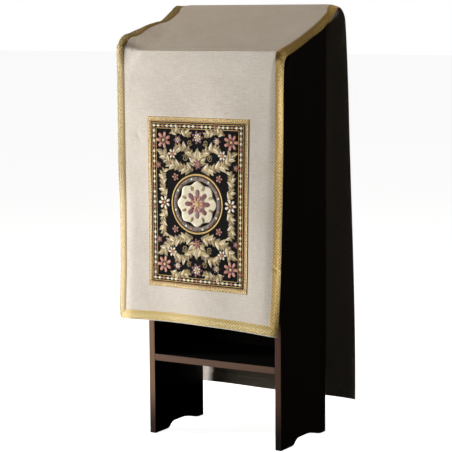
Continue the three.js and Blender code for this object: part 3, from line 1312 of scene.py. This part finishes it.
def bezier(*points: Pair) -> np.ndarray:
    """Points of a cubic curve.

    Args:
        points: its four control points.

    Returns:
        The points in order.
    """
    t = np.linspace(0, 1, 24)[:, None]
    a, b, c, d = (np.array(p, float) for p in points)
    return (1 - t) ** 3 * a + 3 * (1 - t) ** 2 * t * b + 3 * (1 - t) * t**2 * c + t**3 * d


def polar(radius: np.ndarray | float, turn: np.ndarray) -> np.ndarray:
    """Points at some distances from the middle and some angles in radians."""
    return np.column_stack([radius * np.cos(turn), radius * np.sin(turn)])


def along_sides(corners: list[Pair], shares: tuple | np.ndarray) -> np.ndarray:
    """Points of a closed outline, at the same shares of each of its sides."""
    c, n = np.array(corners, float), len(corners)
    return np.array([c[k] + (c[(k + 1) % n] - c[k]) * s for k in range(n) for s in shares])


class Thread(Enum):
    """Colours of floss on the panel: name of the piece, light tone and dark tone."""

    CREAM = ("panel_cream_stitch", "#f1e8cf", "#d3c5a0")
    STRAW = ("panel_straw_stitch", "#d2b87c", "#ab9056")
    OLIVE = ("panel_olive_stitch", "#97804a", "#6d5a30")
    UMBER = ("panel_umber_stitch", "#5c4626", "#3f2f1b")
    CRIMSON = ("panel_crimson_stitch", "#7f2426", "#571518")
    ROSE = ("panel_rose_stitch", "#c78468", "#a1604a")
    GOLD = ("panel_gold_stitch", "#dcb763", "#b58a3c")


class VineRow(NamedTuple):
    """A leafy stem: the four points that bend its curve, then its leaves and the band below."""

    start: Pair
    pull: Pair
    bend: Pair
    end: Pair
    leaf: float
    gap: float
    band: float


class FlowerRow(NamedTuple):
    """A flower: its middle, radius, number of petals and the colours of its two rings."""

    at: Pair
    radius: float
    petals: int
    outer: Thread
    inner: Thread


@dataclass
class Ornament:
    """A generic rosette and leaf ornament for the panel, the same in all four quarters.
    Places on the panel are given to the right and up from its middle."""

    drape: Drape
    middle: float
    base: float
    width: float
    height: float
    crown: float = 0.9
    low_crown: float = 0.72
    line_crown: float = 0.7
    over: float = 0.35
    border_inset: float = 10.0
    border_pitch: float = 13.2
    ring: float = 76.0
    vines: tuple = (
        VineRow((12, 88), (44, 92), (100, 96), (104, 134), 25, 12.0, 24),
        VineRow((8, 112), (18, 138), (40, 150), (72, 142), 22, 11.5, 20),
        VineRow((92, 14), (106, 30), (110, 56), (100, 84), 20, 10.5, 16),
        VineRow((84, 180), (60, 194), (34, 188), (20, 172), 18, 10.0, 14),
    )
    flowers: tuple = (
        FlowerRow((103, 163), 22, 7, Thread.ROSE, Thread.CRIMSON),
        FlowerRow((76, 128), 13, 6, Thread.CREAM, Thread.ROSE),
        FlowerRow((60, 164), 12, 6, Thread.CRIMSON, Thread.CREAM),
        FlowerRow((118, 98), 9, 5, Thread.CRIMSON, Thread.ROSE),
        FlowerRow((66, 68), 10, 5, Thread.ROSE, Thread.CRIMSON),
    )
    curls: tuple = (((38, 118), 9, 40), ((24, 158), 8, 200), ((84, 108), 7, 300), ((112, 128), 6, 90))
    works: dict = field(default_factory=dict)
    # -1 or 1 for right and for up, in the quarter that is being worked.
    mirror: Mirror = (1, 1)

    def work(self, thread: Thread) -> Needlework:
        """The needlework in one colour, begun when first asked for.

        Args:
            thread: the colour.

        Returns:
            Its needlework.
        """
        if thread not in self.works:
            self.works[thread] = Needlework(self.drape, self.middle, self.base)
        return self.works[thread]

    def place(self, outline: np.ndarray, angle: float, at: Pair, tone: Thread, thread: float,
              lift: float, crown: float) -> None:
        """Turns and moves an outline, mirrors it into its quarter and works it as a patch.

        Args:
            outline: the outline, anticlockwise.
            angle: the turn, in degrees.
            at: where its origin goes.
            tone: its colour.
            thread: the direction of its threads, in radians.
            lift: how far it stands over the ground.
            crown: its height.
        """
        a = math.radians(angle)
        turn = np.array([[math.cos(a), -math.sin(a)], [math.sin(a), math.cos(a)]])
        made = (outline @ turn.T + np.array(at)) * np.array(self.mirror)
        made = made[::-1] if self.mirror[0] * self.mirror[1] < 0 else made
        self.work(tone).patch(made, crown, thread, lift)

    def leaf(self, at: Pair, angle: float, length: float, width: float,
             tones: tuple[Thread, Thread], bow: float, lift: float) -> None:
        """A leaf in two tones, one on each side of its rib.

        Args:
            at: where its stalk is.
            angle: its direction, in degrees.
            length: its length.
            width: its width.
            tones: the colours of its two halves.
            bow: how far it curves, as a share of its length.
            lift: how far it stands over the ground.
        """
        slit, lean = 0.2, 0.9
        t = np.linspace(0, 1, 8)
        swell = np.sin(math.pi * t**0.8) ** 0.9 * width / 2
        rib = bow * length * np.sin(math.pi * t)
        direction, (right, up) = math.radians(angle), self.mirror
        way = math.atan2(math.sin(direction) * up, math.cos(direction) * right)
        for sign, tone in zip((1, -1), tones):
            outer = np.column_stack([t * length, rib + sign * (swell + slit)])
            inner = np.column_stack([t * length, rib + sign * slit])
            first, second = (inner, outer) if sign > 0 else (outer, inner)
            outline = np.vstack([first, second[::-1][1:-1]])
            self.place(outline, angle, at, tone, way + sign * right * up * lean, lift, self.crown)

    def spot(self, at: Pair, radius: float, tone: Thread, lift: float = 0.0, lobes: int = 0,
             depth: float = 0.0) -> None:
        """A round or lobed patch.

        Args:
            at: its middle.
            radius: its radius.
            tone: its colour.
            lift: how far it stands over the ground.
            lobes: how many lobes its edge has.
            depth: how far they swing in and out.
        """
        slant = 0.6
        turn = np.linspace(0, TURN, max(12, lobes * 8), endpoint=False)
        outline = polar(radius + depth * np.cos(lobes * turn), turn)
        self.place(outline, 0, at, tone, slant, lift, self.low_crown)

    def lozenge(self, at: Pair, wide: float, tall: float, tone: Thread) -> None:
        """A lozenge of some width and height round its middle."""
        corners = [(wide / 2, 0), (0, tall / 2), (-wide / 2, 0), (0, -tall / 2)]
        self.work(tone).patch(along_sides(corners, (0, 1 / 3, 2 / 3)) + at, self.low_crown, 0.0)

    def vine(self, row: VineRow) -> None:
        """A stem with leaves on both sides, over a dark scalloped band.

        Args:
            row: its row in the table.
        """
        spread, step, taper_length = 48, 1.6, 14
        line = bezier(row.start, row.pull, row.bend, row.end)
        run = distances(line)
        even = np.arange(0, run[-1], step)
        line = follow(even, run, line)
        way = np.gradient(line, axis=0)
        scallop = 0.72 + 0.28 * np.abs(np.sin(math.pi * even / row.gap))
        taper = np.minimum(1, 0.3 + np.minimum(even, even[-1] - even) / taper_length)
        placed = line * np.array(self.mirror)
        self.work(Thread.UMBER).cord(placed, row.band * scallop * taper, 0.45)
        self.work(Thread.GOLD).cord(placed, 1.8, self.line_crown, lift=self.over)
        tones = ((Thread.STRAW, Thread.OLIVE), (Thread.CREAM, Thread.STRAW), (Thread.OLIVE, Thread.STRAW))
        for k, at in enumerate(np.arange(row.gap * 0.6, even[-1] - row.gap * 0.3, row.gap)):
            stalk, (right, up) = follow(at, even, line), follow(at, even, way)
            heading = math.degrees(math.atan2(up, right))
            for sign in (-1, 1):
                size = row.leaf * (0.82 + 0.18 * math.cos(k * 1.7 + sign))
                pair = tones[(k + (sign > 0)) % 3]
                self.leaf(stalk, heading + sign * spread, size, size * 0.46, pair, sign * -0.1, self.over)

    def curl(self, at: Pair, radius: float, angle: float) -> None:
        """A small tendril that rolls up.

        Args:
            at: its middle.
            radius: its radius where it begins.
            angle: where it begins, in degrees.
        """
        t = np.linspace(0, 1, 30)
        line = polar(radius * (1 - 0.8 * t), math.radians(angle) + t * 3.2 * math.pi) + at
        self.work(Thread.STRAW).cord(line * np.array(self.mirror), 1.7, self.line_crown)

    def flower(self, row: FlowerRow, lift: float = 0.0) -> None:
        """A flower of two rings of petals round a gold eye.

        Args:
            row: its row in the table.
            lift: how far it stands over the ground.
        """
        t = np.linspace(0, TURN, 14, endpoint=False)
        for ring, (near, far, tone) in enumerate(((0.36, 1.0, row.outer), (0.16, 0.6, row.inner))):
            long = (far - near) * row.radius / 2
            wide = math.pi * far * row.radius / row.petals * 0.42
            petal = np.column_stack([long * np.cos(t), wide * np.sin(t) * (1 + 0.25 * np.cos(t))])
            petal[:, 0] += (near + far) / 2 * row.radius
            for k in range(row.petals):
                angle = (k + 0.5 * ring) * 360 / row.petals
                self.place(petal, angle, row.at, tone, math.radians(angle), lift + ring * 0.3,
                           self.low_crown)
        self.spot(row.at, row.radius * 0.18, Thread.GOLD, lift + 0.5)

    def medallion(self) -> None:
        """The cream medallion in the middle, with its rosette and rings."""
        turn = np.linspace(0, TURN, 96, endpoint=False)
        self.work(Thread.GOLD).cord(polar(self.ring, turn), 5.5, 1.1, True)
        self.work(Thread.UMBER).cord(polar(self.ring - 10.5, turn), 12.5, 0.5, True)
        self.spot((0, 0), 56, Thread.CREAM, 0.2, lobes=8, depth=4.0)
        beads, bead_ring = 24, self.ring - 9.5
        for k in range(beads):
            a = math.radians(k * 360 / beads)
            tone = (Thread.CRIMSON, Thread.CREAM, Thread.ROSE)[k % 3]
            self.spot((bead_ring * math.cos(a), bead_ring * math.sin(a)), 3.2, tone, self.over)
        lift = self.low_crown + 0.1
        self.flower(FlowerRow((0, 0), 38, 8, Thread.CRIMSON, Thread.ROSE), lift)
        around, tones = 36, (Thread.OLIVE, Thread.STRAW)
        for k in range(8):
            angle = k * 45 + 22.5
            a = math.radians(angle)
            self.leaf((around * math.cos(a), around * math.sin(a)), angle, 15, 8, tones, 0, lift)

    def axis(self) -> None:
        """The upright sprays above and below the medallion, and the flowers beside it."""
        for self.mirror in ((1, -1), (1, 1)):
            for spread in (-84, -56, -28, 0, 28, 56, 84):
                pale = spread % 56 == 0
                tones = (Thread.CREAM, Thread.STRAW) if pale else (Thread.STRAW, Thread.OLIVE)
                size = 42 - 0.16 * abs(spread)
                bow = math.copysign(0.06, spread)
                self.leaf((0, 104), 90 + spread, size, size * 0.36, tones, bow, 0.0)
            self.flower(FlowerRow((0, 103), 14, 7, Thread.CRIMSON, Thread.ROSE), 0.8)
            self.flower(FlowerRow((0, 172), 18, 7, Thread.CRIMSON, Thread.CREAM))
        for self.mirror in ((-1, 1), (1, 1)):
            self.flower(FlowerRow((101, 0), 18, 7, Thread.CREAM, Thread.CRIMSON))

    def border(self) -> None:
        """The chain of lozenges and beads just inside the frame, between two gold lines."""
        half_w, half_h = self.width / 2 - self.border_inset, self.height / 2 - self.border_inset
        for away in (-6.4, 6.4):
            w, h = half_w + away, half_h + away
            line = along_sides([(w, -h), (w, h), (-w, h), (-w, -h)], np.linspace(0, 1, 30, endpoint=False))
            self.work(Thread.GOLD).cord(line, 1.9, self.line_crown, True)
        wide, tall = round(2 * half_w / self.border_pitch), round(2 * half_h / self.border_pitch)
        for side in (-1, 1):
            for k in range(2 * wide + 1):
                self.link(k, (half_w * (k / wide - 1), side * half_h), (11.5, 8.5))
            for k in range(1, 2 * tall):
                self.link(k, (side * half_w, half_h * (k / tall - 1)), (8.5, 11.5))

    def link(self, k: int, at: Pair, size: Pair) -> None:
        """One link of the border's chain: a lozenge or the bead between two.

        Args:
            k: its number along the side.
            at: its middle.
            size: a lozenge's width and height.
        """
        if k % 2:
            self.spot(at, 1.6, Thread.GOLD)
        else:
            self.lozenge(at, *size, Thread.ROSE if k % 8 == 4 else Thread.CREAM)

    def build(self) -> list[Piece]:
        """Builds the whole ornament.

        Returns:
            A piece for each colour.
        """
        self.medallion()
        self.axis()
        for self.mirror in ((1, 1), (-1, 1), (-1, -1), (1, -1)):
            for row in self.vines:
                self.vine(row)
            for row in self.flowers:
                self.flower(row, self.over)
            for curl in self.curls:
                self.curl(*curl)
        self.mirror = (1, 1)
        self.border()
        made = []
        for thread, work in self.works.items():
            name, light, dark = thread.value
            floss = SatinThread(name + "_floss", light, dark).material()
            made.append(work.build(Label(name, "panel", floss)))
        return made


@dataclass
class StitchedPanel:
    """The panel on the front fall: black twill in a narrow old-gold braid frame, with the
    ornament worked on it."""

    drape: Drape
    width: float = 284.0
    height: float = 420.0
    below_crease: float = 184.0
    inset: float = 0.2
    side_frame: float = 11.0
    end_frame: float = 13.0
    corner_gap: float = 0.15
    lift: float = 0.75
    cloth: float = 0.9
    frame_body: float = 0.9
    frame_relief: float = 0.7
    rim_at: float = 0.1
    rim_width: float = 0.08
    rim_share: float = 0.7
    edge_low: float = 0.3
    bead_pitch: float = 6.0
    bead_width: float = 0.17
    stitch_lift: float = 0.1
    rust_line_out: float = 1.2
    dots_out: float = 3.4

    @property
    def middle(self) -> float:
        """Place along of the panel's middle."""
        return -self.below_crease - self.height / 2

    def ground(self, material: Material) -> Piece:
        """The twill that the ornament is worked on.

        Args:
            material: its finish.

        Returns:
            The ground.
        """
        half_w, half_h, step = self.width / 2 - self.inset, self.height / 2 - self.inset, 7.0
        rows = spaced(self.middle - half_h, (self.middle + half_h, step))
        along, across = np.meshgrid(rows, spaced(-half_w, (half_w, step)), indexing="ij")
        label = Label("panel_twill", "panel", material, "picture_panel")
        return sheet_piece(self.drape, label, along, across, self.lift, self.lift + self.cloth)

    def strip(self, node: str, along: Pair, across: Pair, level: bool, material: Material) -> Piece:
        """One side of the frame: a braid with corded rims and a row of beads between.

        Args:
            node: the node that it stands for.
            along: where it begins and ends along the cloth.
            across: where it begins and ends across it.
            level: whether it runs across the cloth.
            material: its finish.

        Returns:
            The strip.
        """
        (start, end), (near, far) = (across, along) if level else (along, across)
        length, depth = spaced(start, (end, 1.5)), np.linspace(near, far, 11)
        a, c = np.meshgrid(*((depth, length) if level else (length, depth)), indexing="ij")
        over, by = (a, c) if level else (c, a)
        t = (over - near) / (far - near)
        bead = (0.5 + 0.5 * np.cos(TURN * by / self.bead_pitch)) * ridge(t, 0.5, self.bead_width)
        rim = ridge(t, self.rim_at, self.rim_width) + ridge(t, 1 - self.rim_at, self.rim_width)
        ramp = ease(t / self.rim_width) * ease((1 - t) / self.rim_width)
        edge = self.edge_low + (1 - self.edge_low) * ramp
        high = self.frame_body + self.frame_relief * np.maximum(bead, self.rim_share * rim)
        out = np.maximum((np.abs(c) - self.width / 2) / self.side_frame,
                         (np.abs(a - self.middle) - self.height / 2) / self.end_frame)
        label = Label(node + "_braid", "frame", material, node)
        return sheet_piece(self.drape, label, a, c, self.lift, self.lift + high * edge, out)

    def frame_strips(self, material: Material) -> list[Piece]:
        """The four sides of the frame.

        Args:
            material: their finish.

        Returns:
            The strips.
        """
        half, foot, top = self.width / 2, self.middle - self.height / 2, self.middle + self.height / 2
        outer = half + self.side_frame
        level, upright = (-outer, outer), (foot + self.corner_gap, top - self.corner_gap)
        return [
            self.strip("frame_foot", (foot - self.end_frame, foot), level, True, material),
            self.strip("frame_top", (top, top + self.end_frame), level, True, material),
            self.strip("frame_left", upright, (-outer, -half), False, material),
            self.strip("frame_right", upright, (half, outer), False, material),
        ]

    def round_line(self, out: float) -> list:
        """A line round the panel on the frame, some way outside the panel's edge.

        Args:
            out: how far outside.

        Returns:
            Each side's start and end as (along, across), and its height.
        """
        w, h = self.width / 2 + out, self.height / 2 + out
        corners = [(self.middle + s * h, t * w) for s, t in ((-1, -1), (-1, 1), (1, 1), (1, -1), (-1, -1))]
        height = self.lift + self.frame_body + self.stitch_lift
        return [(start, end, height) for start, end in zip(corners, corners[1:])]

    def build(self, twill: Material, braid: Material) -> list[Piece]:
        """Builds the panel, its frame and its ornament.

        Args:
            twill: the ground's finish.
            braid: the frame's finish.

        Returns:
            The pieces.
        """
        crimson = SatinThread("crimson_thread", "#8e2a2c", "#6a1a20").material()
        rust = SatinThread("rust_thread", "#b4743a", "#8c5526").material()
        dot, line = Label("frame_crimson_dots", "frame", crimson), Label("frame_rust_line", "frame", rust)
        ornament = Ornament(self.drape, self.middle, self.lift + self.cloth, self.width, self.height)
        return [
            self.ground(twill),
            *self.frame_strips(braid),
            StitchLine(self.drape, 4.2, 4.6, 1.5, 0.5).build(line, self.round_line(self.rust_line_out)),
            StitchLine(self.drape, 2.4, 8.2, 2.4, 0.7).build(dot, self.round_line(self.dots_out)),
            *ornament.build(),
        ]


class BoardRow(NamedTuple):
    """A board: its node, its grain, the axis that its broad faces look along and its edging's colours, the
    last being painted shade towards the floor.
    """

    node: str
    grain: Grain
    broad: Triple
    edge_dark: str
    edge_light: str
    edge_shaded_foot: str | None = None


@dataclass
class Lectern:
    """The lectern: broad faces near black, which is painted shade, narrow edges in brown edging, arrises
    eased.
    """

    arris: float = 0.9
    slope: float = 21.6
    # The broad faces' near black is painted shade: the wood is brown like its edging, and its faces are
    # drawn as dark as they look in deep shade.
    face_dark: str = "#131211"
    face_light: str = "#1e1c1a"
    edge_roughness: float = 0.45
    weld: float = 0.01
    flat_angle: float = 1.0
    sharp_angle: float = 35.0
    broad_share: float = 0.9

    def boards(self) -> tuple[BoardRow, ...]:
        """Lists the boards.

        Returns:
            A row for each.
        """
        tilt = math.radians(self.slope)
        return (
            # Edging colours, dark and light, then the colour of the painted shade at the side boards' feet.
            BoardRow("side_board_left", Grain.UPRIGHT, (1, 0, 0), "#6c5241", "#866850", "#2b1a15"),
            # The right board's edging is drawn darker all over than the left's: painted shade.
            BoardRow("side_board_right", Grain.UPRIGHT, (1, 0, 0), "#442d23", "#563b2e", "#0b0705"),
            BoardRow("shelf", Grain.LEVEL, (0, 0, 1), "#5b4539", "#6e5344"),
            BoardRow("back_panel", Grain.UPRIGHT, (0, 1, 0), "#2c211b", "#382a22"),
            BoardRow("desk_board", Grain.LEVEL, (0, -math.sin(tilt), math.cos(tilt)), "#57443a", "#6a5446"),
        )

    def board(self, row: BoardRow, face: Material) -> Piece:
        """One board with eased arrises, over its node.

        Args:
            row: its row in the table.
            face: the finish of its broad faces.

        Returns:
            The board.
        """
        edging = StainedBoard("brown_edging_" + row.node, row.grain, row.edge_dark, row.edge_light,
                              self.edge_roughness, row.edge_shaded_foot)
        label = Label(row.node + "_finished", "wood", face, row.node)
        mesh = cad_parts[row.node].data.copy()
        mesh.name = label.name
        mesh.materials.clear()
        mesh.materials.append(face)
        mesh.materials.append(edging.material())
        shape = bmesh.new()
        shape.from_mesh(mesh)
        bmesh.ops.remove_doubles(shape, verts=shape.verts, dist=self.weld * MM)
        bmesh.ops.dissolve_limit(shape, angle_limit=math.radians(self.flat_angle), verts=shape.verts,
                                 edges=shape.edges)
        sharp = [e for e in shape.edges if e.calc_face_angle(0.0) > math.radians(self.sharp_angle)]
        bmesh.ops.bevel(shape, geom=sharp, offset=self.arris * MM, segments=2, profile=0.5, affect="EDGES")
        for f in shape.faces:
            f.material_index = 0 if abs(f.normal.dot(Vector(row.broad))) > self.broad_share else 1
            f.smooth = False
        shape.to_mesh(mesh)
        shape.free()
        return label.attach(put(label.name, mesh))

    def build(self) -> list[Piece]:
        """Builds every board.

        Returns:
            The boards.
        """
        faces = {
            grain: StainedBoard("painted_shade_face_" + grain.name.lower(), grain, self.face_dark, self.face_light)
            for grain in Grain
        }
        made = {grain: finish.material() for grain, finish in faces.items()}
        return [self.board(row, made[row.grain]) for row in self.boards()]


class LightRow(NamedTuple):
    """A square soft light: its place, the point that it faces, its side in metres, its watts."""

    name: str
    at: Triple
    aim: Triple
    size: float
    watts: float
    colour: str


@dataclass
class Studio:
    """Pale floor, white backdrop, soft light from the front left, and the camera. Lights and
    floor are in metres."""

    origin: Pair
    camera_at: Triple = (2351.0, -3851.1, 1161.6)
    yaw: float = 30.96
    pitch: float = 7.37
    roll: float = -0.37
    focal_pixels: float = 1738.9
    frame_pixels: float = 452.0
    sensor: float = 36.0
    floor_size: float = 60.0
    floor_drop: float = 0.0005
    lights: tuple = (
        LightRow("key", (-2.66, -1.24, 0.42), (0.0, -0.15, 0.55), 0.65, 168.0, "#ffffff"),
        LightRow("top", (-0.5, -0.4, 3.0), (0.0, 0.0, 1.1), 1.4, 22.0, "#fff6ec"),
        LightRow("side", (3.0, 0.45, 1.85), (0.2, 0.0, 0.8), 1.2, 19.0, "#fff0e0"),
        LightRow("front", (-1.6, -4.0, 1.4), (0.0, 0.0, 0.7), 1.6, 18.0, "#fff4e8"),
        LightRow("fill", (2.0, -3.8, 1.4), (0.2, 0.1, 0.8), 1.6, 2.1, "#fff8ee"),
    )

    def camera(self) -> None:
        """Sets the camera at the photograph's viewing angle."""
        yaw, pitch, roll = (math.radians(v) for v in (self.yaw, self.pitch, self.roll))
        level = math.cos(pitch)
        forward = Vector((-math.sin(yaw) * level, math.cos(yaw) * level, -math.sin(pitch)))
        right = Vector((math.cos(yaw), math.sin(yaw), 0.0))
        up = right.cross(forward)
        c, s = math.cos(roll), math.sin(roll)
        right, up = c * right + s * up, -s * right + c * up
        data = bpy.data.cameras.new("camera")
        data.sensor_width = self.sensor
        data.lens = self.sensor * self.focal_pixels / self.frame_pixels
        data.clip_end = 100.0
        made = put("camera", data)
        turn = Matrix((right, up, -forward)).transposed().to_4x4()
        place = Vector(self.camera_at) + Vector((*self.origin, 0.0))
        made.matrix_world = Matrix.Translation(place * MM) @ turn
        bpy.context.scene.camera = made

    def light(self, row: LightRow) -> None:
        """Adds a light.

        Args:
            row: its row in the table.
        """
        data = bpy.data.lights.new(row.name, "AREA")
        data.size, data.energy, data.color = row.size, row.watts, linear(row.colour)[:3]
        made = put(row.name, data)
        made.location = row.at
        made.rotation_euler = (Vector(row.aim) - Vector(row.at)).to_track_quat("-Z", "Y").to_euler()

    def floor(self) -> None:
        """Lays the floor. It is seen but lights nothing, so the shaded side stays dark."""
        half = self.floor_size / 2
        corners = [(-half, -half, 0), (half, -half, 0), (half, half, 0), (-half, half, 0)]
        mesh = bpy.data.meshes.new("floor")
        mesh.from_pydata(corners, [], [(0, 1, 2, 3)])
        mesh.materials.append(PaleFloor().material())
        made = put("floor", mesh)
        made.location.z = -self.floor_drop
        made.visible_diffuse = made.visible_glossy = False

    def backdrop(self) -> None:
        """Sets a white backdrop. It is seen but lights nothing."""
        world = bpy.data.worlds.new("backdrop")
        world.use_nodes = True
        background = world.node_tree.nodes["Background"].inputs
        background["Color"].default_value = linear("#ffffff")
        background["Strength"].default_value = 1.0
        world.cycles_visibility.diffuse = world.cycles_visibility.glossy = False
        bpy.context.scene.world = world

    def build(self) -> None:
        """Sets up backdrop, floor, lights and camera."""
        bpy.context.scene.view_settings.view_transform = "Standard"
        self.backdrop()
        self.floor()
        for row in self.lights:
            self.light(row)
        self.camera()


def stand_origin() -> Pair:
    """Middle of the side boards across, and their front edges, in millimetres."""
    left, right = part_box("side_board_left"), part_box("side_board_right")
    return ((left[0][0] + right[1][0]) / 2 / MM, left[0][1] / MM)


def main() -> None:
    """Builds every piece in order and sets up the studio."""
    logging.basicConfig(level=logging.INFO, format="%(message)s")
    origin = stand_origin()
    drape = Drape(origin)
    # One braid in three copies of its finish: the left one, turned to the light, is painted darker, as
    # painted shade; the right one, turned away from it, is painted brighter, as painted light; laid level,
    # the same braid turns its threads to the light, and its paler copy is painted sheen.
    left, right, level, old = (finish.material() for finish in (
        GoldBraid("gold_braid_left_painted_shade", "#cfb97c", "#655022", "#9a883c", "#a5813e", "#836424",
                  inner_share=0.7),
        GoldBraid("gold_braid_right_painted_light", "#fff2ae", "#a07626", "#f3d864", "#fcc062", "#a37d2e"),
        GoldBraid("gold_braid_level_painted_sheen", "#fbe9ac", "#6f5216", "#dfcb6e", "#e8c674", "#ae922a",
                  inner_share=0.9),
        GoldBraid("old_gold_braid", "#fbeba8", "#774e1c", "#ccb25c", "#cf9544", "#b58636",
                  inner_share=0.5, lattice=3.8, glint=4.6, cast=7.0),
    ))
    made = Lectern().build()
    cloth = Cloth(drape).build(SlubCloth().material())
    thread = SatinThread("gold_sewing_thread", "#d9c58a", "#b79a57").material()
    border = BraidBorder(drape).build(left, right, level, thread)
    panel = StitchedPanel(drape).build(PanelCloth().material(), old)
    made += [cloth, *border, *panel]
    for piece in made:
        log.info("%s: %d faces", piece.name, len(piece.data.polygons))
    Studio(origin).build()


if __name__ == "__main__":
    main()
